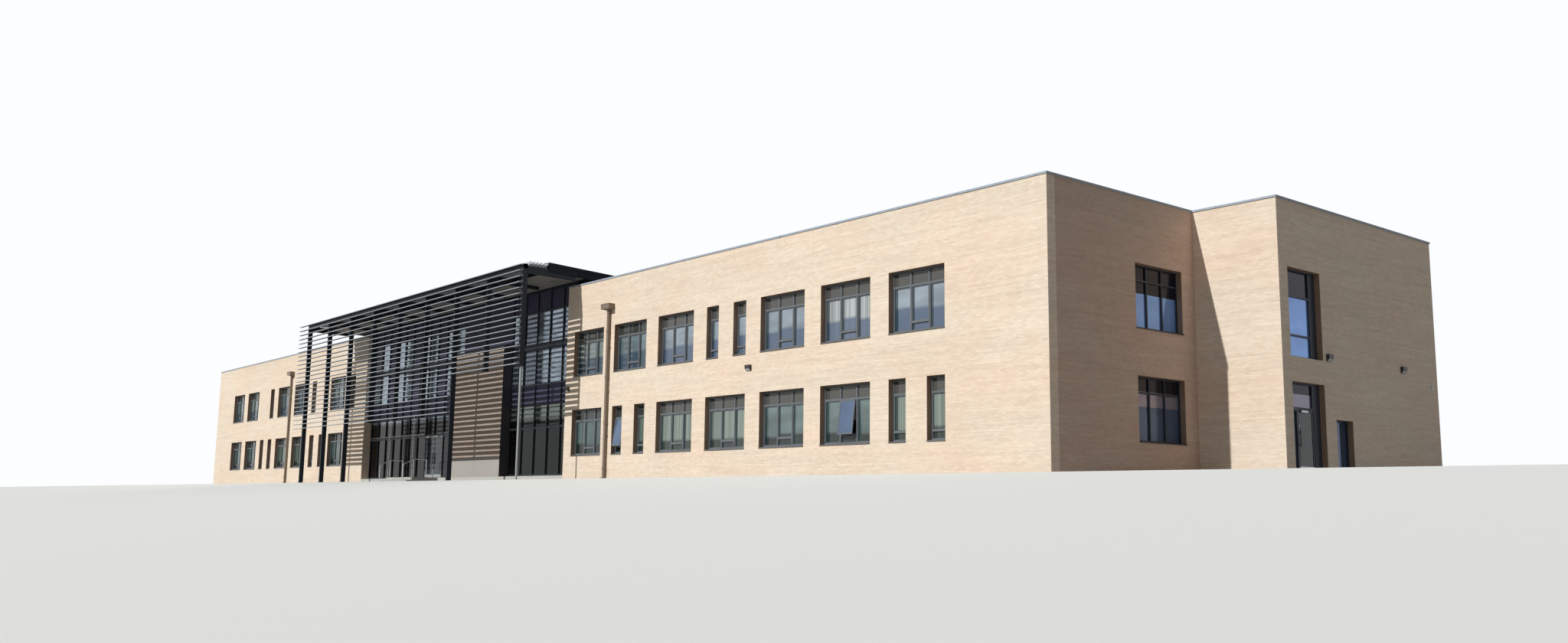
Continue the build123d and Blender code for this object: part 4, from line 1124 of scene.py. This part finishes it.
class SCHOOL_OT_fittings(bpy.types.Operator):
    """Finish the downpipes, the wall lights and the cameras"""
    bl_idname = "school.fittings"
    bl_label = "Fittings"

    def execute(self, context):
        pipe = plain_material("downpipe_paint", (0.22, 0.165, 0.12), 0.45, 0.1, grain=250.0, mottle=0.12,
                              coat=0.1)
        dress(pipe, "downpipes")
        dress(plain_material("light_paint", (0.035, 0.03, 0.03), 0.45, 0.1, grain=300.0), "wall_lights")
        white = plain_material("camera_plastic", (0.80, 0.80, 0.78), 0.3, 0.0, grain=300.0, mottle=0.04,
                               coat=0.3)
        dress(white, "cameras")
        self.dress_pipes(pipe)
        self.add_light_lenses()
        camera_y, camera_z = rear_y - 0.077, floor_z + 0.344
        dark = plain_material("camera_lens", (0.01, 0.01, 0.012), 0.1, grain=200.0, coat=0.6)
        lens = ((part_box("cameras")[1].x - SUNK, camera_y, camera_z), 0, 0.0062, 0.0016)
        collar = ((end_x - SUNK, camera_y, camera_z), 0, 0.0085, 0.0024)
        prisms_piece("camera_lenses", [lens], dark, sides=20)
        prisms_piece("camera_collar", [collar], white, sides=20)
        return {"FINISHED"}

    def dress_pipes(self, paint):
        """Box and rims of the hoppers, and the collars, clips and screws of their pipes."""
        low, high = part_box("downpipes")
        back, rim_z = front_y - 0.0005, high.z - 0.003
        rims, collars, screws = [], [], []
        hopper_half, collar_height = 0.033, 0.013
        for x in (high.x - hopper_half, low.x + hopper_half):
            rims += [(*around(x, 0.0340), low.y - 0.0010, back, high.z - 0.0235, rim_z),
                     (*around(x, 0.0350), low.y - 0.0018, back, rim_z, high.z + 0.0012),
                     (*around(x, 0.018), front_y - 0.0235, back, high.z - 0.0205, high.z - 0.0175)]
            collars += [(*around(x, 0.0084), front_y - 0.0164, back, z, z + collar_height)
                        for z in (0.05, 0.26, 0.47, 0.68)]
            collars.append((*around(x, 0.0078), front_y - 0.024, front_y - 0.009, 0.004, 0.016))
            screws += [((screw_x, front_y - 0.0080, z + 0.0025), 1, 0.0012, -0.0009)
                       for z in between(0.0, high.z, 5) for screw_x in around(x, 0.0092)]
        boxes_piece("hopper_rims", rims, paint, bevel=0.0004)
        boxes_piece("pipe_collars", collars, paint, bevel=0.0004)
        prisms_piece("clip_screws", screws, paint)

    def add_light_lenses(self):
        """Thin lenses along the slanted undersides of the wedge lights."""
        ahead, aside, up = Vector((0, -1, 0)), Vector((1, 0, 0)), Vector((0, 0, 1))
        depth, height, half_width = 0.012, 0.013, 0.0115
        lights = [(Vector((corner_x - inset, front_y, floor_z + 0.394)), ahead, aside)
                  for inset in (1.488, 2.906)]
        lights += [(Vector((end_x, rear_y - inset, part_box("wall_lights")[0].z)), aside, -ahead)
                   for inset in (0.827, 0.284)]
        vertices, faces = [], []
        for origin, outward, sideways in lights:
            slope = outward * depth + up * height
            down = (outward * height - up * depth).normalized()
            add_hexahedron(vertices, faces, [
                tuple(origin + slope * share + sideways * offset + down * lift)
                for lift in (-0.0003, 0.0006) for share in (0.16, 0.88)
                for offset in (-half_width, half_width)])
        lens = plain_material("light_lens", (0.55, 0.56, 0.55), 0.25, grain=400.0, mottle=0.06, coat=0.5)
        new_piece("light_lenses", vertices, faces, lens)


class SCHOOL_OT_stage(bpy.types.Operator):
    """Set the floor, the key lamp, the surroundings and the camera"""
    bl_idname = "school.stage"
    bl_label = "Stage"

    def execute(self, context):
        make_floor()
        make_lights(context.scene.school_light)
        make_camera()
        context.scene.view_settings.view_transform = "Standard"
        return {"FINISHED"}


def make_floor():
    """Pale floor, level under the building and falling gently away in front of it."""
    level_edge, slope = -1.36, 0.075
    xs = [-60.0, -20.0, -8.0, -5.5, 5.5, 8.0, 20.0, 60.0]
    ys = [-40.0, -12.0, -6.0, -4.0, -3.0, -2.2, -1.8, -1.5, level_edge, 1.3, 4.0, 12.0, 40.0]
    vertices = [(x, y, -0.0005 - slope * max(0.0, level_edge - y)) for y in ys for x in xs]
    row = len(xs)
    faces = [(j * row + i, j * row + i + 1, (j + 1) * row + i + 1, (j + 1) * row + i)
             for j in range(len(ys) - 1) for i in range(row - 1)]
    mesh = bpy.data.meshes.new("stage_floor")
    mesh.from_pydata(vertices, [], faces)
    floor = bpy.data.objects.new("stage_floor", mesh)
    bpy.context.scene.collection.objects.link(floor)
    material, tree, inputs = new_material("stage_pale", 0.9)
    diffuse = add_node(tree, "LightPath", {}, "Is Diffuse Ray")
    feed(mix_colour(diffuse, (0.80, 0.80, 0.79), (0.25, 0.25, 0.24)), inputs["Base Color"])
    mesh.materials.append(material)


def make_lights(light):
    """Key lamp from the front left and even surroundings with a white background."""
    lamp = bpy.data.lights.new("key_lamp", "SUN")
    lamp.energy = light.sun_strength
    lamp.angle = light.sun_softness
    lamp.color = (0.99, 1.0, 0.97)
    key = bpy.data.objects.new("key_lamp", lamp)
    beam = Vector((1.16, 7.95, -5.59))
    key.rotation_euler = beam.to_track_quat("-Z", "Y").to_euler()
    key.location = (-2, -6, 5)
    bpy.context.scene.collection.objects.link(key)
    world = bpy.data.worlds.new("surroundings")
    bpy.context.scene.world = world
    world.use_nodes = True
    tree = world.node_tree
    background = tree.nodes["Background"]
    feed((0.97, 0.985, 1.0), background.inputs["Color"])
    rays = tree.nodes.new("ShaderNodeLightPath")
    camera, glossy, through = (Signal(tree, rays.outputs[f"Is {kind} Ray"])
                               for kind in ("Camera", "Glossy", "Transmission"))
    seen = camera.larger(glossy).larger(through)
    feed(seen * (1.0 - light.fill) + light.fill, background.inputs["Strength"])


def make_camera():
    """Camera of the photograph's view."""
    camera = bpy.data.cameras.new("photo_camera")
    camera.lens = 28.97
    camera.sensor_width = 36.0
    camera.clip_end = 200.0
    viewer = bpy.data.objects.new("photo_camera", camera)
    yaw, pitch, roll = math.radians(50.62), math.radians(8.25), math.radians(0.744)
    ahead = Vector((-math.sin(yaw) * math.cos(pitch), math.cos(yaw) * math.cos(pitch), math.sin(pitch)))
    level = Vector((math.cos(yaw), math.sin(yaw), 0))
    rise = level.cross(ahead)
    right = level * math.cos(roll) + rise * math.sin(roll)
    up = rise * math.cos(roll) - level * math.sin(roll)
    turn = Matrix((right, up, -ahead)).transposed().to_4x4()
    place = (6.622, -4.005, -0.094)
    viewer.matrix_world = Matrix.Translation(place) @ turn
    bpy.context.scene.collection.objects.link(viewer)
    bpy.context.scene.camera = viewer


class SCHOOL_PT_panel(bpy.types.Panel):
    bl_idname = "SCHOOL_PT_panel"
    bl_label = "School building"
    bl_space_type = "VIEW_3D"
    bl_region_type = "UI"
    bl_category = "School"

    def draw(self, context):
        layout = self.layout
        for operator in OPERATORS:
            layout.operator(operator.bl_idname)
        for group in (context.scene.school_sizes, context.scene.school_colours, context.scene.school_light):
            box = layout.box()
            for name in group.__annotations__:
                box.prop(group, name)


OPERATORS = (SCHOOL_OT_brickwork, SCHOOL_OT_floors_and_roofs, SCHOOL_OT_copings, SCHOOL_OT_window_bars,
             SCHOOL_OT_glazing, SCHOOL_OT_entrance_hall, SCHOOL_OT_louvre_screen, SCHOOL_OT_doors,
             SCHOOL_OT_steps_and_rails, SCHOOL_OT_fittings, SCHOOL_OT_stage)
CLASSES = (SchoolSizes, SchoolColours, SchoolLight, *OPERATORS, SCHOOL_PT_panel)


def register():
    for item in CLASSES:
        bpy.utils.register_class(item)
    bpy.types.Scene.school_sizes = bpy.props.PointerProperty(type=SchoolSizes)
    bpy.types.Scene.school_colours = bpy.props.PointerProperty(type=SchoolColours)
    bpy.types.Scene.school_light = bpy.props.PointerProperty(type=SchoolLight)


def unregister():
    del bpy.types.Scene.school_light
    del bpy.types.Scene.school_colours
    del bpy.types.Scene.school_sizes
    for item in reversed(CLASSES):
        bpy.utils.unregister_class(item)


def main():
    register()
    brick_bond_group()
    weathering_group()
    grain_group()
    pane_tint_group()
    bay_tint_group()
    end_tint_group()
    blade_tint_group()
    bpy.ops.school.brickwork()
    bpy.ops.school.floors_and_roofs()
    bpy.ops.school.copings()
    bpy.ops.school.window_bars()
    bpy.ops.school.glazing()
    bpy.ops.school.entrance_hall()
    bpy.ops.school.louvre_screen()
    bpy.ops.school.doors()
    bpy.ops.school.steps_and_rails()
    bpy.ops.school.fittings()
    bpy.ops.school.stage()


if __name__ == "__main__":
    main()
